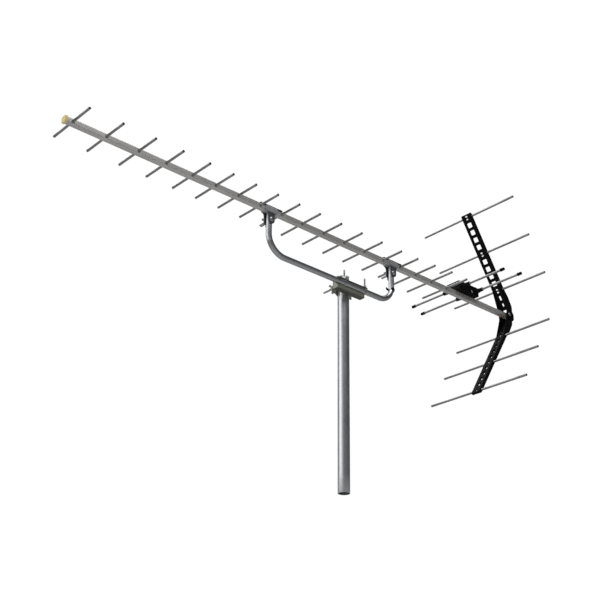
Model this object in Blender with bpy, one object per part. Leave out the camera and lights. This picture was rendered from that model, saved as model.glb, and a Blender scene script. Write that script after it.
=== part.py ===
"""UHF television yagi antenna on a stub of mast.

Frame: +Z up along the mast, +X towards the end that points at the transmitter, origin in the middle of the
mast's foot. The boom runs along X beside and above the mast. Stations along the boom are counted in metres
from its reflector end, and heights and offsets near the boom from its centreline, through at().
"""

import math

import bmesh
import bpy
from mathutils import Matrix, Vector

# ---- driving dimensions, metres ----------------------------------------------------------------------
MAST_DIAMETER = 0.0318
MAST_WALL = 0.0016
MAST_HEIGHT = 0.603

BOOM_SIDE = 0.015
BOOM_WALL = 0.0012
BOOM_CORNER = 0.0022
BOOM_HEIGHT = 0.684
BOOM_OFFSET = 0.0322
BOOM_REAR_STATION = -0.004
BOOM_FRONT_STATION = 1.5635
MAST_STATION = 0.6645

ROD_DIAMETER = 0.007
ROD_BORE = 0.0052
DIRECTOR_LENGTH = 0.155
REAR_DIRECTOR_LENGTHS = {16: 0.165, 17: 0.176, 18: 0.173}
REAR_DIRECTOR_STATION = 0.285
DIRECTOR_PITCHES = [0.0656] * 4 + [0.0758] * 4 + [0.0716] * 5 + [0.079] * 2 + [0.0895] * 2

RADIATOR_DIAMETER = 0.007
RADIATOR_STATIONS = {"front": 0.230, "rear": 0.172}
RADIATOR_LENGTHS = {"front": 0.361, "rear": 0.393}
RADIATOR_RISE = 0.019
RADIATOR_FEED_GAP = 0.016
RADIATOR_CAP_DIAMETER = 0.0098
RADIATOR_CAP_LENGTH = 0.014

REFLECTOR_ROD_LENGTH = 0.357
REFLECTOR_OPENING = math.radians(58.6)
REFLECTOR_ROD_REACHES = [0.0795, 0.2027, 0.3259]
REFLECTOR_ROD_SETBACK = 0.0181
PIVOT_STATION = 0.006
PIVOT_PIN_DIAMETER = 0.006

ARM_TUBE_DIAMETER = 0.016
ARM_TUBE_WALL = 0.0014
ARM_DROP = 0.1186
ARM_LEG_STATIONS = {"front": 0.958, "rear": 0.510}
ARM_BEND_RADII = {"front": 0.055, "rear": 0.050}
CLAMP_BOLT_DROP = 0.0290

BOLT_DIAMETER = 0.006
GAP = 0.0003

ALUMINIUM = ("aluminium", (0.62, 0.63, 0.64), 0.35, 1.0)
GALVANISED = ("galvanised_steel", (0.55, 0.58, 0.61), 0.38, 1.0)
PLATED = ("plated_steel", (0.42, 0.43, 0.42), 0.42, 1.0)
BLACK_PLASTIC = ("black_plastic", (0.02, 0.02, 0.022), 0.5, 0.0)
YELLOW_PLASTIC = ("yellow_plastic", (0.82, 0.58, 0.18), 0.45, 0.0)
BRASS = ("passivated_brass", (0.60, 0.33, 0.14), 0.4, 1.0)
BOARD = ("circuit_board", (0.07, 0.25, 0.12), 0.5, 0.0)


# ---- frame -------------------------------------------------------------------------------------------
def at(station, offset=0.0, rise=0.0):
    """World point at a boom station, an offset from the boom's centreline along Y and a rise along Z."""
    return Vector((station - MAST_STATION, BOOM_OFFSET + offset, BOOM_HEIGHT + rise))


MAST_TOP = Vector((0.0, 0.0, MAST_HEIGHT))
ARM_AXIS = at(MAST_STATION, 0.0, -ARM_DROP)
PIVOT = at(PIVOT_STATION)


# ---- scene and mesh helpers --------------------------------------------------------------------------
def clear_scene():
    for obj in list(bpy.data.objects):
        bpy.data.objects.remove(obj, do_unlink=True)


def material(spec):
    name, colour, roughness, metallic = spec
    made = bpy.data.materials.get(name)
    if made is None:
        made = bpy.data.materials.new(name)
        made.use_nodes = True
        shader = made.node_tree.nodes["Principled BSDF"]
        shader.inputs["Base Color"].default_value = (*colour, 1.0)
        shader.inputs["Roughness"].default_value = roughness
        shader.inputs["Metallic"].default_value = metallic
    return made


def joint_empty(name, position, parent=None):
    empty = bpy.data.objects.new(name, None)
    empty.empty_display_size = 0.03
    bpy.context.scene.collection.objects.link(empty)
    base = parent.matrix_world.translation if parent else Vector()
    empty.parent = parent
    empty.location = Vector(position) - base
    bpy.context.view_layer.update()
    return empty


def mesh_object(name, bm, spec, origin=(0, 0, 0), turn=None):
    """An object from a bmesh whose points are in world coordinates, or in the turned frame at origin."""
    origin = Vector(origin)
    if turn is None:
        bmesh.ops.translate(bm, verts=bm.verts, vec=-origin)
    bmesh.ops.recalc_face_normals(bm, faces=bm.faces)
    mesh = bpy.data.meshes.new(name)
    bm.to_mesh(mesh)
    bm.free()
    mesh.shade_smooth()
    mesh.set_sharp_from_angle(angle=math.radians(35))
    mesh.materials.append(material(spec))
    obj = bpy.data.objects.new(name, mesh)
    bpy.context.scene.collection.objects.link(obj)
    obj.location = origin
    if turn is not None:
        obj.rotation_euler = turn
    return obj


def attach(obj, parent):
    """Parents obj to an empty without moving it."""
    obj.parent = parent
    obj.location = obj.location - parent.matrix_world.translation
    return obj


def boolean(obj, bm, operation, label):
    """Adds a Boolean modifier that takes a hidden helper with the mesh bm, in obj's own coordinates."""
    bmesh.ops.recalc_face_normals(bm, faces=bm.faces)
    mesh = bpy.data.meshes.new(f"{obj.name}_{label}")
    bm.to_mesh(mesh)
    bm.free()
    helper = bpy.data.objects.new(f"{obj.name}_{label}", mesh)
    bpy.context.scene.collection.objects.link(helper)
    helper.hide_render = True
    helper.display_type = "WIRE"
    helper.parent = obj
    modifier = obj.modifiers.new(label, "BOOLEAN")
    modifier.operation = operation
    modifier.solver = "EXACT"
    modifier.object = helper


def local(bm, obj):
    """Moves a bmesh from world coordinates to those of an unturned object."""
    bmesh.ops.translate(bm, verts=bm.verts, vec=-obj.location)
    return bm


def add_box(bm, low, high):
    low, high = Vector(low), Vector(high)
    made = bmesh.ops.create_cube(bm, size=1.0)
    size = high - low
    move = Matrix.Translation((low + high) / 2) @ Matrix.Diagonal((*size, 1.0))
    bmesh.ops.transform(bm, matrix=move, verts=made["verts"])


def add_loft(bm, rings, close=False):
    """A skin over rings of points. Open lofts get end caps, and close joins the last ring to the first."""
    loops = [[bm.verts.new(p) for p in ring] for ring in rings]
    pairs = list(zip(loops, loops[1:]))
    if close:
        pairs.append((loops[-1], loops[0]))
    count = len(loops[0])
    for first, second in pairs:
        for i in range(count):
            j = (i + 1) % count
            bm.faces.new((first[i], first[j], second[j], second[i]))
    if not close:
        bm.faces.new(loops[0][::-1])
        bm.faces.new(loops[-1])


def circle(centre, across, up, radius, sides, start=0.0):
    turn = 2 * math.pi / sides
    return [
        centre + radius * (math.cos(start + i * turn) * across + math.sin(start + i * turn) * up)
        for i in range(sides)
    ]


def cross_axes(direction):
    """Two unit vectors square to a direction."""
    direction = Vector(direction).normalized()
    helper = Vector((0, 0, 1)) if abs(direction.z) < 0.9 else Vector((1, 0, 0))
    across = direction.cross(helper).normalized()
    return across, direction.cross(across).normalized()


def add_turned(bm, start, direction, profile, sides=12):
    """A solid of revolution: profile is (distance along direction, radius) pairs from end to end."""
    across, up = cross_axes(direction)
    along = Vector(direction).normalized()
    half_step = math.pi / sides
    add_loft(bm, [circle(Vector(start) + t * along, across, up, r, sides, half_step) for t, r in profile])


def add_rod(bm, start, end, radius, sides=12):
    start, end = Vector(start), Vector(end)
    add_turned(bm, start, end - start, [(0.0, radius), ((end - start).length, radius)], sides)


def add_tube(bm, start, end, outer, inner, sides=12):
    start, end = Vector(start), Vector(end)
    across, up = cross_axes(end - start)
    half_step = math.pi / sides
    ends = ((start, outer), (end, outer), (end, inner), (start, inner))
    add_loft(bm, [circle(p, across, up, r, sides, half_step) for p, r in ends], close=True)


def add_prism(bm, outline, axis, low, high):
    """A flat outline pulled along a world axis. Its two numbers are the other axes, in XYZ order."""
    places = {"X": (1, 2, 0), "Y": (0, 2, 1), "Z": (0, 1, 2)}[axis]
    rings = []
    for level in (low, high):
        ring = []
        for a, b in outline:
            point = [0.0, 0.0, 0.0]
            point[places[0]], point[places[1]], point[places[2]] = a, b, level
            ring.append(Vector(point))
        rings.append(ring)
    add_loft(bm, rings)


def rounded_square(side, corner, steps):
    """Outline of a square with round corners, centred on zero."""
    inner = side / 2 - corner
    points = []
    for quarter in range(4):
        cx = inner * (1 if quarter in (0, 3) else -1)
        cy = inner * (1 if quarter in (0, 1) else -1)
        for step in range(steps + 1):
            angle = math.pi / 2 * (quarter + step / steps)
            points.append((cx + corner * math.cos(angle), cy + corner * math.sin(angle)))
    return points


def arc(centre, radius, start, end, steps):
    """Points on an arc, angles in degrees."""
    points = []
    for i in range(steps + 1):
        angle = math.radians(start + (end - start) * i / steps)
        points.append((centre[0] + radius * math.cos(angle), centre[1] + radius * math.sin(angle)))
    return points


# ---- mast --------------------------------------------------------------------------------------------
def make_mast():
    bm = bmesh.new()
    radius = MAST_DIAMETER / 2
    add_tube(bm, (0, 0, 0), MAST_TOP, radius, radius - MAST_WALL, sides=40)
    mesh_object("mast_pipe", bm, GALVANISED)


# ---- fasteners ---------------------------------------------------------------------------------------
WING_HUB_RADIUS = 0.0052
WING_HUB_LENGTH = 0.0065
WING_SPAN = 0.0135
WING_THICKNESS = 0.0026


def make_wing_nut(name, centre, axis, wings_along, parent, bolt_diameter=BOLT_DIAMETER):
    """A wing nut whose seat is at centre and whose thread leaves along axis."""
    axis, across = Vector(axis), Vector(wings_along)
    centre = Vector(centre)
    bm = bmesh.new()
    profile = [(0.0, WING_HUB_RADIUS), (WING_HUB_LENGTH, WING_HUB_RADIUS * 0.78)]
    add_turned(bm, centre, axis, profile, sides=16)
    nut = mesh_object(name, bm, PLATED, origin=centre)

    thick = axis.cross(across) * (WING_THICKNESS / 2)
    root = WING_HUB_RADIUS * 0.45
    shape = [(root, 0.0012), (WING_HUB_RADIUS, 0.0012), (WING_SPAN * 0.72, 0.0030), (WING_SPAN, 0.0072)]
    shape += [(WING_SPAN * 0.93, 0.0112), (WING_SPAN * 0.66, 0.0110)]
    shape += [(WING_HUB_RADIUS, 0.0060), (root, 0.0060)]
    for side, label in ((1, "wing_a"), (-1, "wing_b")):
        wing = bmesh.new()
        outline = [across * (side * a) + axis * b for a, b in shape]
        add_loft(wing, [[p - thick for p in outline], [p + thick for p in outline]])
        boolean(nut, wing, "UNION", label)

    bore = bmesh.new()
    add_rod(bore, -axis * 0.002, axis * 0.02, bolt_diameter / 2 + GAP, sides=12)
    boolean(nut, bore, "DIFFERENCE", "thread_hole")
    return attach(nut, parent)


def make_bolt(name, head_face, direction, length, parent, head_radius=0.0062, head_height=0.0030):
    """A bolt with a domed head whose underside is at head_face, its shank running along direction."""
    direction = Vector(direction)
    head_face = Vector(head_face)
    bm = bmesh.new()
    radius = BOLT_DIAMETER / 2
    profile = [
        (-head_height, head_radius * 0.45),
        (-head_height * 0.75, head_radius * 0.80),
        (-head_height * 0.30, head_radius),
        (0.0, head_radius),
        (0.0001, radius),
        (length - 0.001, radius),
        (length, radius * 0.75),
    ]
    add_turned(bm, head_face, direction, profile, sides=12)
    return attach(mesh_object(name, bm, PLATED, origin=head_face), parent)


# ---- mast bracket: channel, jaw, bolts and arm loops -------------------------------------------------
CHANNEL_STATIONS = (0.6190, 0.7190)
CHANNEL_TOP_START = 0.6060
CHANNEL_BACK = -0.0160
CHANNEL_LIP = 0.0030
CHANNEL_LIP_TOP = -0.1280
CHANNEL_FLOOR = -0.1405
CHANNEL_TOP = -0.1070
CHANNEL_TOP_EDGE = 0.0045
CHANNEL_TOP_THICKNESS = 0.0016
CHANNEL_WALL = 0.0020
CHANNEL_STEP_RISE = -0.1195
MAST_BOLT_REACH = 0.0300
MAST_BOLT_RISE = -0.1215
MAST_BOLT_TIP_OFFSET = -0.0780
JAW_THICKNESS = 0.0023
JAW_LEAN = 27.0
JAW_EAR_OFFSET = -0.0382
JAW_EAR_END = 0.0365
JAW_RISES = (-0.1345, -0.1155)
JAW_APEX_FLAT = 0.0030
LOOP_STATIONS = {"front": 0.6915, "rear": 0.6150}
LOOP_WIDTH = 0.006
LOOP_THICKNESS = 0.0009
LOOP_BOLT_DIAMETER = 0.005
LOOP_TIP_RISE = -0.0790
LOOP_NUT_TURNS = {"front": -41.0, "rear": 40.0}


def channel_section():
    """The bracket's C section as (offset, rise): lip, floor, back wall and top flange, then the inside."""
    back, lip, wall, corner = CHANNEL_BACK, CHANNEL_LIP, CHANNEL_WALL, 0.0016
    under_top = CHANNEL_TOP - CHANNEL_TOP_THICKNESS
    outside = [
        (lip, CHANNEL_LIP_TOP),
        (lip, CHANNEL_FLOOR + corner),
        (lip - corner, CHANNEL_FLOOR),
        (back + corner, CHANNEL_FLOOR),
        (back, CHANNEL_FLOOR + corner),
        (back, CHANNEL_TOP - corner),
        (back + corner, CHANNEL_TOP),
        (CHANNEL_TOP_EDGE, CHANNEL_TOP),
    ]
    inside = [
        (CHANNEL_TOP_EDGE, under_top),
        (back + wall, under_top),
        (back + wall, CHANNEL_FLOOR + wall),
        (lip - wall, CHANNEL_FLOOR + wall),
        (lip - wall, CHANNEL_LIP_TOP),
    ]
    return outside + inside


def make_mast_bracket(parent):
    """A C channel with its back against the mast. The arm tube lies between its lip and its top flange."""
    x_low, x_high = CHANNEL_STATIONS
    bm = bmesh.new()
    outline = [tuple(at(0, y, z).yz) for y, z in channel_section()]
    add_prism(bm, outline, "X", at(CHANNEL_TOP_START).x, at(x_high).x)
    bracket = mesh_object("mast_bracket", bm, PLATED, origin=MAST_TOP)

    # Behind the mast the channel is cut back to its top flange and upper wall.
    corner = bmesh.new()
    add_box(corner, at(CHANNEL_TOP_START - 0.01, -0.03, -0.16), at(x_low, 0.02, CHANNEL_STEP_RISE))
    boolean(bracket, local(corner, bracket), "DIFFERENCE", "step")

    # A rib with a round notch closes each end of the channel under the arm tube.
    ribs = bmesh.new()
    notch_radius = ARM_TUBE_DIAMETER / 2 + GAP
    rib_front, rib_back = CHANNEL_LIP - 0.001, CHANNEL_BACK + 0.001
    start = math.degrees(math.acos(rib_front / notch_radius))
    rib_foot = CHANNEL_FLOOR + 0.001
    rib_section = [(rib_back, -ARM_DROP), (rib_back, rib_foot), (rib_front, rib_foot)]
    rib_section += arc((0.0, -ARM_DROP), notch_radius, 360 - start, 180, 9)
    rib_outline = [tuple(at(0, y, z).yz) for y, z in rib_section]
    for rib_low in (x_low + 0.0005, x_high - 0.0030):
        add_prism(ribs, rib_outline, "X", at(rib_low).x, at(rib_low + 0.0025).x)
    boolean(bracket, local(ribs, bracket), "UNION", "ribs")

    holes = bmesh.new()
    for side in (-1, 1):
        centre = at(MAST_STATION + side * MAST_BOLT_REACH, CHANNEL_BACK, MAST_BOLT_RISE)
        add_rod(holes, centre - Vector((0, 0.002, 0)), centre + Vector((0, 0.004, 0)), 0.0033)
    for station in LOOP_STATIONS.values():
        centre = at(station, 0, CHANNEL_TOP)
        add_rod(holes, centre - Vector((0, 0, 0.003)), centre + Vector((0, 0, 0.003)), 0.0029)
    boolean(bracket, local(holes, bracket), "DIFFERENCE", "bolt_holes")
    attach(bracket, parent)


def make_mast_jaw(parent):
    """A strap bent into a shallow V round the far side of the mast, with a flat ear at each end."""
    lean = math.radians(JAW_LEAN)
    thick, flat, ear = JAW_THICKNESS, JAW_APEX_FLAT, JAW_EAR_OFFSET
    slope = math.tan(lean)
    apex = -BOOM_OFFSET - (MAST_DIAMETER / 2 + GAP) / math.cos(lean)
    apex_out = apex - thick / math.cos(lean)
    bend = (ear - apex) / slope
    bend_out = (ear - thick - apex_out) / slope
    near_face = [(JAW_EAR_END, ear), (bend, ear), (flat, apex + flat * slope)]
    far_face = [(JAW_EAR_END, ear - thick), (bend_out, ear - thick), (flat, apex_out + flat * slope)]
    inner = [(-x, y) for x, y in near_face] + near_face[::-1]
    outer = far_face + [(-x, y) for x, y in far_face[::-1]]
    outline = [tuple(at(MAST_STATION + x, y).xy) for x, y in inner + outer]
    bm = bmesh.new()
    bottom, top = (at(0, 0, rise).z for rise in JAW_RISES)
    add_prism(bm, outline, "Z", bottom, top)
    jaw = mesh_object("mast_jaw", bm, PLATED, origin=MAST_TOP)

    holes = bmesh.new()
    for side in (-1, 1):
        centre = at(MAST_STATION + side * MAST_BOLT_REACH, ear, MAST_BOLT_RISE)
        add_rod(holes, centre - Vector((0, 0.005, 0)), centre + Vector((0, 0.003, 0)), 0.0033)
    boolean(jaw, local(holes, jaw), "DIFFERENCE", "bolt_holes")
    attach(jaw, parent)


def make_mast_bolts(parent):
    head_offset = CHANNEL_BACK + CHANNEL_WALL + GAP
    for label, side in (("front", 1), ("rear", -1)):
        station = MAST_STATION + side * MAST_BOLT_REACH
        face = at(station, head_offset, MAST_BOLT_RISE)
        length = head_offset - MAST_BOLT_TIP_OFFSET
        make_bolt(f"mast_bolt_{label}", face, (0, -1, 0), length, parent, head_height=0.0026)
        seat = at(station, JAW_EAR_OFFSET - JAW_THICKNESS - GAP, MAST_BOLT_RISE)
        name = f"mast_wing_nut_{label}"
        pivot = joint_empty(f"{name}_axis", seat, parent)
        wings = Vector((math.sin(0.5), 0, math.cos(0.5) * side))
        make_wing_nut(name, seat, (0, -1, 0), wings, pivot)


def make_arm_loops(parent):
    """Strap loops round the arm tube, each with a threaded stud that a wing nut draws up."""
    inner = ARM_TUBE_DIAMETER / 2 + GAP
    for label, station in LOOP_STATIONS.items():
        bm = bmesh.new()
        start, end = (at(station + side * LOOP_WIDTH / 2, 0, -ARM_DROP) for side in (-1, 1))
        add_tube(bm, start, end, inner + LOOP_THICKNESS, inner, sides=24)
        loop = mesh_object(f"arm_loop_{label}", bm, PLATED, origin=at(station, 0, -ARM_DROP))
        stud = bmesh.new()
        root = at(station, 0, -ARM_DROP + inner + LOOP_THICKNESS / 3)
        add_rod(stud, root, at(station, 0, LOOP_TIP_RISE), LOOP_BOLT_DIAMETER / 2)
        boolean(loop, local(stud, loop), "UNION", "stud")
        attach(loop, parent)

        seat = at(station, 0, CHANNEL_TOP + GAP)
        name = f"arm_wing_nut_{label}"
        pivot = joint_empty(f"{name}_axis", seat, parent)
        turn = math.radians(LOOP_NUT_TURNS[label])
        wings = Vector((math.cos(turn), math.sin(turn), 0))
        make_wing_nut(name, seat, (0, 0, 1), wings, pivot, bolt_diameter=LOOP_BOLT_DIAMETER)


# ---- support arm: one bent tube, with a clamp on the boom at each leg --------------------------------
LEG_TOP_RISE = -0.0085
BEND_STEPS = 9


def arm_path():
    """Centreline of the arm tube as (station, rise), from the front leg's top to the rear leg's top."""
    front, rear = ARM_LEG_STATIONS["front"], ARM_LEG_STATIONS["rear"]
    r_front, r_rear = ARM_BEND_RADII["front"], ARM_BEND_RADII["rear"]
    path = [(front, LEG_TOP_RISE)]
    path += arc((front - r_front, -ARM_DROP + r_front), r_front, 0, -90, BEND_STEPS)
    path += arc((rear + r_rear, -ARM_DROP + r_rear), r_rear, -90, -180, BEND_STEPS)
    path += [(rear, LEG_TOP_RISE)]
    return path


def make_support_arm(parent):
    path = arm_path()
    sides = 16
    shells = []
    for radius in (ARM_TUBE_DIAMETER / 2, ARM_TUBE_DIAMETER / 2 - ARM_TUBE_WALL):
        rings = []
        for i, (station, rise) in enumerate(path):
            before = Vector(path[max(i - 1, 0)])
            after = Vector(path[min(i + 1, len(path) - 1)])
            along = (after - before).normalized()
            normal = Vector((-along.y, 0, along.x))
            rings.append(circle(at(station, 0, rise), normal, Vector((0, 1, 0)), radius, sides))
        shells.append(rings)
    bm = bmesh.new()
    add_loft(bm, shells[0] + shells[1][::-1], close=True)
    arm = mesh_object("support_arm", bm, GALVANISED, origin=ARM_AXIS)

    holes = bmesh.new()
    for station in ARM_LEG_STATIONS.values():
        centre = at(station, 0, -CLAMP_BOLT_DROP)
        add_rod(holes, centre - Vector((0, 0.02, 0)), centre + Vector((0, 0.02, 0)), 0.0033)
    boolean(arm, local(holes, arm), "DIFFERENCE", "clamp_bolt_holes")
    attach(arm, parent)


CLAMP_INNER = 0.0083
CLAMP_SHEET = 0.0018
CLAMP_TOP_RISE = 0.0078
CLAMP_HALF_LENGTH = 0.0200
CLAMP_STRIP_HALF_LENGTH = 0.0370
CLAMP_SHOULDER = -0.0075
CLAMP_EAR_HALF_WIDTH = 0.0105
CLAMP_EAR_BOTTOM = -0.0410
CLAMP_BOLT_REACH = 0.0370
CLIP_RISE = -0.0790
CLIP_HEIGHT = 0.0070


def clamp_side_outline(station):
    """Side view of a boom clamp: a long strip on the boom, sides beside it, then a curve in to an ear."""
    flare = CLAMP_HALF_LENGTH - CLAMP_EAR_HALF_WIDTH
    strip_bottom = CLAMP_TOP_RISE + 0.0002
    right = [(CLAMP_STRIP_HALF_LENGTH, CLAMP_TOP_RISE + CLAMP_SHEET), (CLAMP_STRIP_HALF_LENGTH, strip_bottom)]
    right += [(CLAMP_HALF_LENGTH, strip_bottom), (CLAMP_HALF_LENGTH, CLAMP_SHOULDER)]
    right += arc((CLAMP_HALF_LENGTH, CLAMP_SHOULDER - flare), flare, 90, 180, 5)[1:]
    ear_centre = (0.0, CLAMP_EAR_BOTTOM + CLAMP_EAR_HALF_WIDTH)
    bottom = arc(ear_centre, CLAMP_EAR_HALF_WIDTH, 0, -180, 8)
    left = [(-x, z) for x, z in reversed(right)]
    return [tuple(at(station + x, 0, z).xz) for x, z in right + bottom + left]


def make_boom_clamps(parent):
    for label, station in ARM_LEG_STATIONS.items():
        outer = CLAMP_INNER + CLAMP_SHEET
        bm = bmesh.new()
        add_prism(bm, clamp_side_outline(station), "Y", at(0, -outer).y, at(0, outer).y)
        clamp = mesh_object(f"boom_clamp_{label}", bm, PLATED, origin=at(station))
        inside = bmesh.new()
        low, high = at(station - 0.04, -CLAMP_INNER, -0.06), at(station + 0.04, CLAMP_INNER, CLAMP_TOP_RISE)
        add_box(inside, low, high)
        boolean(clamp, local(inside, clamp), "DIFFERENCE", "inside")
        holes = bmesh.new()
        centre = at(station, 0, -CLAMP_BOLT_DROP)
        add_rod(holes, centre - Vector((0, 0.02, 0)), centre + Vector((0, 0.02, 0)), 0.0033)
        boolean(clamp, local(holes, clamp), "DIFFERENCE", "bolt_hole")
        attach(clamp, parent)

        head = at(station, outer + GAP, -CLAMP_BOLT_DROP)
        make_bolt(f"clamp_bolt_{label}", head, (0, -1, 0), outer + GAP + CLAMP_BOLT_REACH, parent)
        seat = at(station, -outer - GAP, -CLAMP_BOLT_DROP)
        name = f"clamp_wing_nut_{label}"
        pivot = joint_empty(f"{name}_axis", seat, parent)
        wings = Vector((math.cos(0.9), 0, math.sin(0.9)))
        make_wing_nut(name, seat, (0, -1, 0), wings, pivot)


def make_cable_clip(parent):
    """A spring clip round the rear leg, square to the tube, with a hook that holds the coaxial cable."""
    bend = ARM_BEND_RADII["rear"]
    lean = math.asin((bend - ARM_DROP - CLIP_RISE) / bend)
    centre = at(ARM_LEG_STATIONS["rear"] + bend * (1 - math.cos(lean)), 0, CLIP_RISE)
    inner = ARM_TUBE_DIAMETER / 2 + GAP
    outer = inner + 0.0014
    outline = arc((0, 0), outer, 45, 315, 14)
    outline += [(inner + 0.0062, -outer * 0.72), (inner + 0.0074, -0.0040), (inner + 0.0058, -0.0040)]
    outline += [(inner + 0.0048, -outer * 0.58)]
    outline += arc((0, 0), inner, 315, 45, 14)
    bm = bmesh.new()
    add_prism(bm, outline, "Z", -CLIP_HEIGHT / 2, CLIP_HEIGHT / 2)
    attach(mesh_object("cable_clip", bm, BLACK_PLASTIC, origin=centre, turn=(0, -lean, 0)), parent)


# ---- boom and directors ------------------------------------------------------------------------------
def director_stations():
    """Stations of directors 1 (front) to 18 (rear)."""
    stations = [REAR_DIRECTOR_STATION]
    for pitch in DIRECTOR_PITCHES:
        stations.append(stations[-1] + pitch)
    return stations[::-1]


def make_boom(parent):
    steps = 2
    outer = rounded_square(BOOM_SIDE, BOOM_CORNER, steps)
    inner = rounded_square(BOOM_SIDE - 2 * BOOM_WALL, BOOM_CORNER - BOOM_WALL, steps)
    rings = []
    ends = ((outer, BOOM_REAR_STATION), (outer, BOOM_FRONT_STATION))
    ends += ((inner, BOOM_FRONT_STATION), (inner, BOOM_REAR_STATION))
    for outline, station in ends:
        rings.append([at(station, y, z) for y, z in outline])
    bm = bmesh.new()
    add_loft(bm, rings, close=True)
    boom = mesh_object("boom", bm, ALUMINIUM, origin=at(MAST_STATION))

    holes = bmesh.new()
    for station in director_stations():
        add_rod(holes, at(station, -0.02), at(station, 0.02), ROD_DIAMETER / 2 + GAP, sides=12)
    add_rod(holes, at(PIVOT_STATION, -0.02), at(PIVOT_STATION, 0.02), PIVOT_PIN_DIAMETER / 2 + GAP)
    add_rod(holes, at(HUB_SCREW_STATION, 0, -0.02), at(HUB_SCREW_STATION, 0, 0), 0.0023, sides=8)
    boolean(boom, local(holes, boom), "DIFFERENCE", "rod_holes")
    attach(boom, parent)


def make_boom_cap(parent):
    """A moulded cap over the front end of the boom."""
    wall = 0.0013
    clearance = GAP
    side = BOOM_SIDE + 2 * (clearance + wall)
    skirt = 0.0020
    length = 0.0060
    start = BOOM_FRONT_STATION - skirt
    outline = rounded_square(side, BOOM_CORNER + wall, 3)
    rings = []
    for station, scale in ((start, 1.0), (start + length * 0.80, 1.0), (start + length, 0.86)):
        rings.append([at(station, y * scale, z * scale) for y, z in outline])
    bm = bmesh.new()
    add_loft(bm, rings)
    cap = mesh_object("boom_front_cap", bm, YELLOW_PLASTIC, origin=at(BOOM_FRONT_STATION))
    recess = bmesh.new()
    inner = rounded_square(BOOM_SIDE + 2 * clearance, BOOM_CORNER, 3)
    ring = [tuple(at(0, y, z).yz) for y, z in inner]
    add_prism(recess, ring, "X", at(start - 0.005).x, at(BOOM_FRONT_STATION + clearance).x)
    boolean(cap, local(recess, cap), "DIFFERENCE", "recess")
    attach(cap, parent)


def make_directors(parent):
    for number, station in enumerate(director_stations(), start=1):
        half = REAR_DIRECTOR_LENGTHS.get(number, DIRECTOR_LENGTH) / 2
        bm = bmesh.new()
        add_tube(bm, at(station, -half), at(station, half), ROD_DIAMETER / 2, ROD_BORE / 2, sides=12)
        attach(mesh_object(f"director_{number:02d}", bm, ALUMINIUM, origin=at(station)), parent)


# ---- radiators and feed box --------------------------------------------------------------------------
BOX_STATIONS = (0.1560, 0.2460)
BOX_HALF_WIDTH = 0.0250
BOX_FLOOR_RISE = BOOM_SIDE / 2 + GAP
BOX_RIM_RISE = 0.0290
BOX_WALL = 0.0022
SLEEVE_RADIUS = 0.0068
SLEEVE_END_OFFSET = 0.0510
COVER_TOP_RISE = 0.0350
BOARD_RISE = 0.0112
BOARD_THICKNESS = 0.0016
SOCKET_OFFSET = -0.0130
SOCKET_RISE = 0.0190


def make_radiators(parent):
    for place, station in RADIATOR_STATIONS.items():
        half = RADIATOR_LENGTHS[place] / 2
        reach = half - RADIATOR_FEED_GAP / 2
        for side, sign in (("left", 1), ("right", -1)):
            root = at(station, sign * RADIATOR_FEED_GAP / 2, RADIATOR_RISE)
            radius, cap = RADIATOR_DIAMETER / 2, RADIATOR_CAP_DIAMETER / 2
            step = reach - RADIATOR_CAP_LENGTH
            profile = [(0.0, radius), (step, radius), (step + 0.0001, cap), (reach - 0.001, cap)]
            profile += [(reach, cap * 0.8)]
            bm = bmesh.new()
            add_turned(bm, root, (0, sign, 0), profile, sides=12)
            name = f"radiator_{place}_{side}"
            attach(mesh_object(name, bm, ALUMINIUM, origin=root), parent)


def make_feed_box(parent):
    x_low, x_high = BOX_STATIONS
    bm = bmesh.new()
    corner = 0.005
    outline = [(x_low + corner, -BOX_HALF_WIDTH), (x_high - corner, -BOX_HALF_WIDTH)]
    outline += [(x_high, -BOX_HALF_WIDTH + corner), (x_high, BOX_HALF_WIDTH - corner)]
    outline += [(x_high - corner, BOX_HALF_WIDTH), (x_low + corner, BOX_HALF_WIDTH)]
    outline += [(x_low, BOX_HALF_WIDTH - corner), (x_low, -BOX_HALF_WIDTH + corner)]
    world = [tuple(at(x, y).xy) for x, y in outline]
    floor, rim = at(0, 0, BOX_FLOOR_RISE).z, at(0, 0, BOX_RIM_RISE).z
    add_prism(bm, world, "Z", floor, rim)
    box = mesh_object("feed_box_base", bm, BLACK_PLASTIC, origin=at((x_low + x_high) / 2))

    sleeves = bmesh.new()
    for station in RADIATOR_STATIONS.values():
        for sign in (-1, 1):
            start = at(station, sign * (BOX_HALF_WIDTH - 0.004), RADIATOR_RISE)
            reach = SLEEVE_END_OFFSET - BOX_HALF_WIDTH + 0.004
            profile = [(0.0, SLEEVE_RADIUS + 0.0012), (0.012, SLEEVE_RADIUS), (reach, SLEEVE_RADIUS * 0.86)]
            add_turned(sleeves, start, (0, sign, 0), profile, sides=16)
    boolean(box, local(sleeves, box), "UNION", "sleeves")

    cavity = bmesh.new()
    low = at(x_low + BOX_WALL, -BOX_HALF_WIDTH + BOX_WALL, BOX_FLOOR_RISE + BOX_WALL)
    high = at(x_high - BOX_WALL, BOX_HALF_WIDTH - BOX_WALL, BOX_RIM_RISE + 0.01)
    add_box(cavity, low, high)
    boolean(box, local(cavity, box), "DIFFERENCE", "cavity")

    holes = bmesh.new()
    for station in RADIATOR_STATIONS.values():
        add_rod(holes, at(station, -0.06, RADIATOR_RISE), at(station, 0.06, RADIATOR_RISE), 0.0038)
    boolean(box, local(holes, box), "DIFFERENCE", "rod_holes")

    port = bmesh.new()
    port_start, port_end = (at(x_low + reach, SOCKET_OFFSET, SOCKET_RISE) for reach in (-0.002, 0.006))
    add_rod(port, port_start, port_end, 0.0051)
    boolean(box, local(port, box), "DIFFERENCE", "socket_port")
    attach(box, parent)


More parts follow.
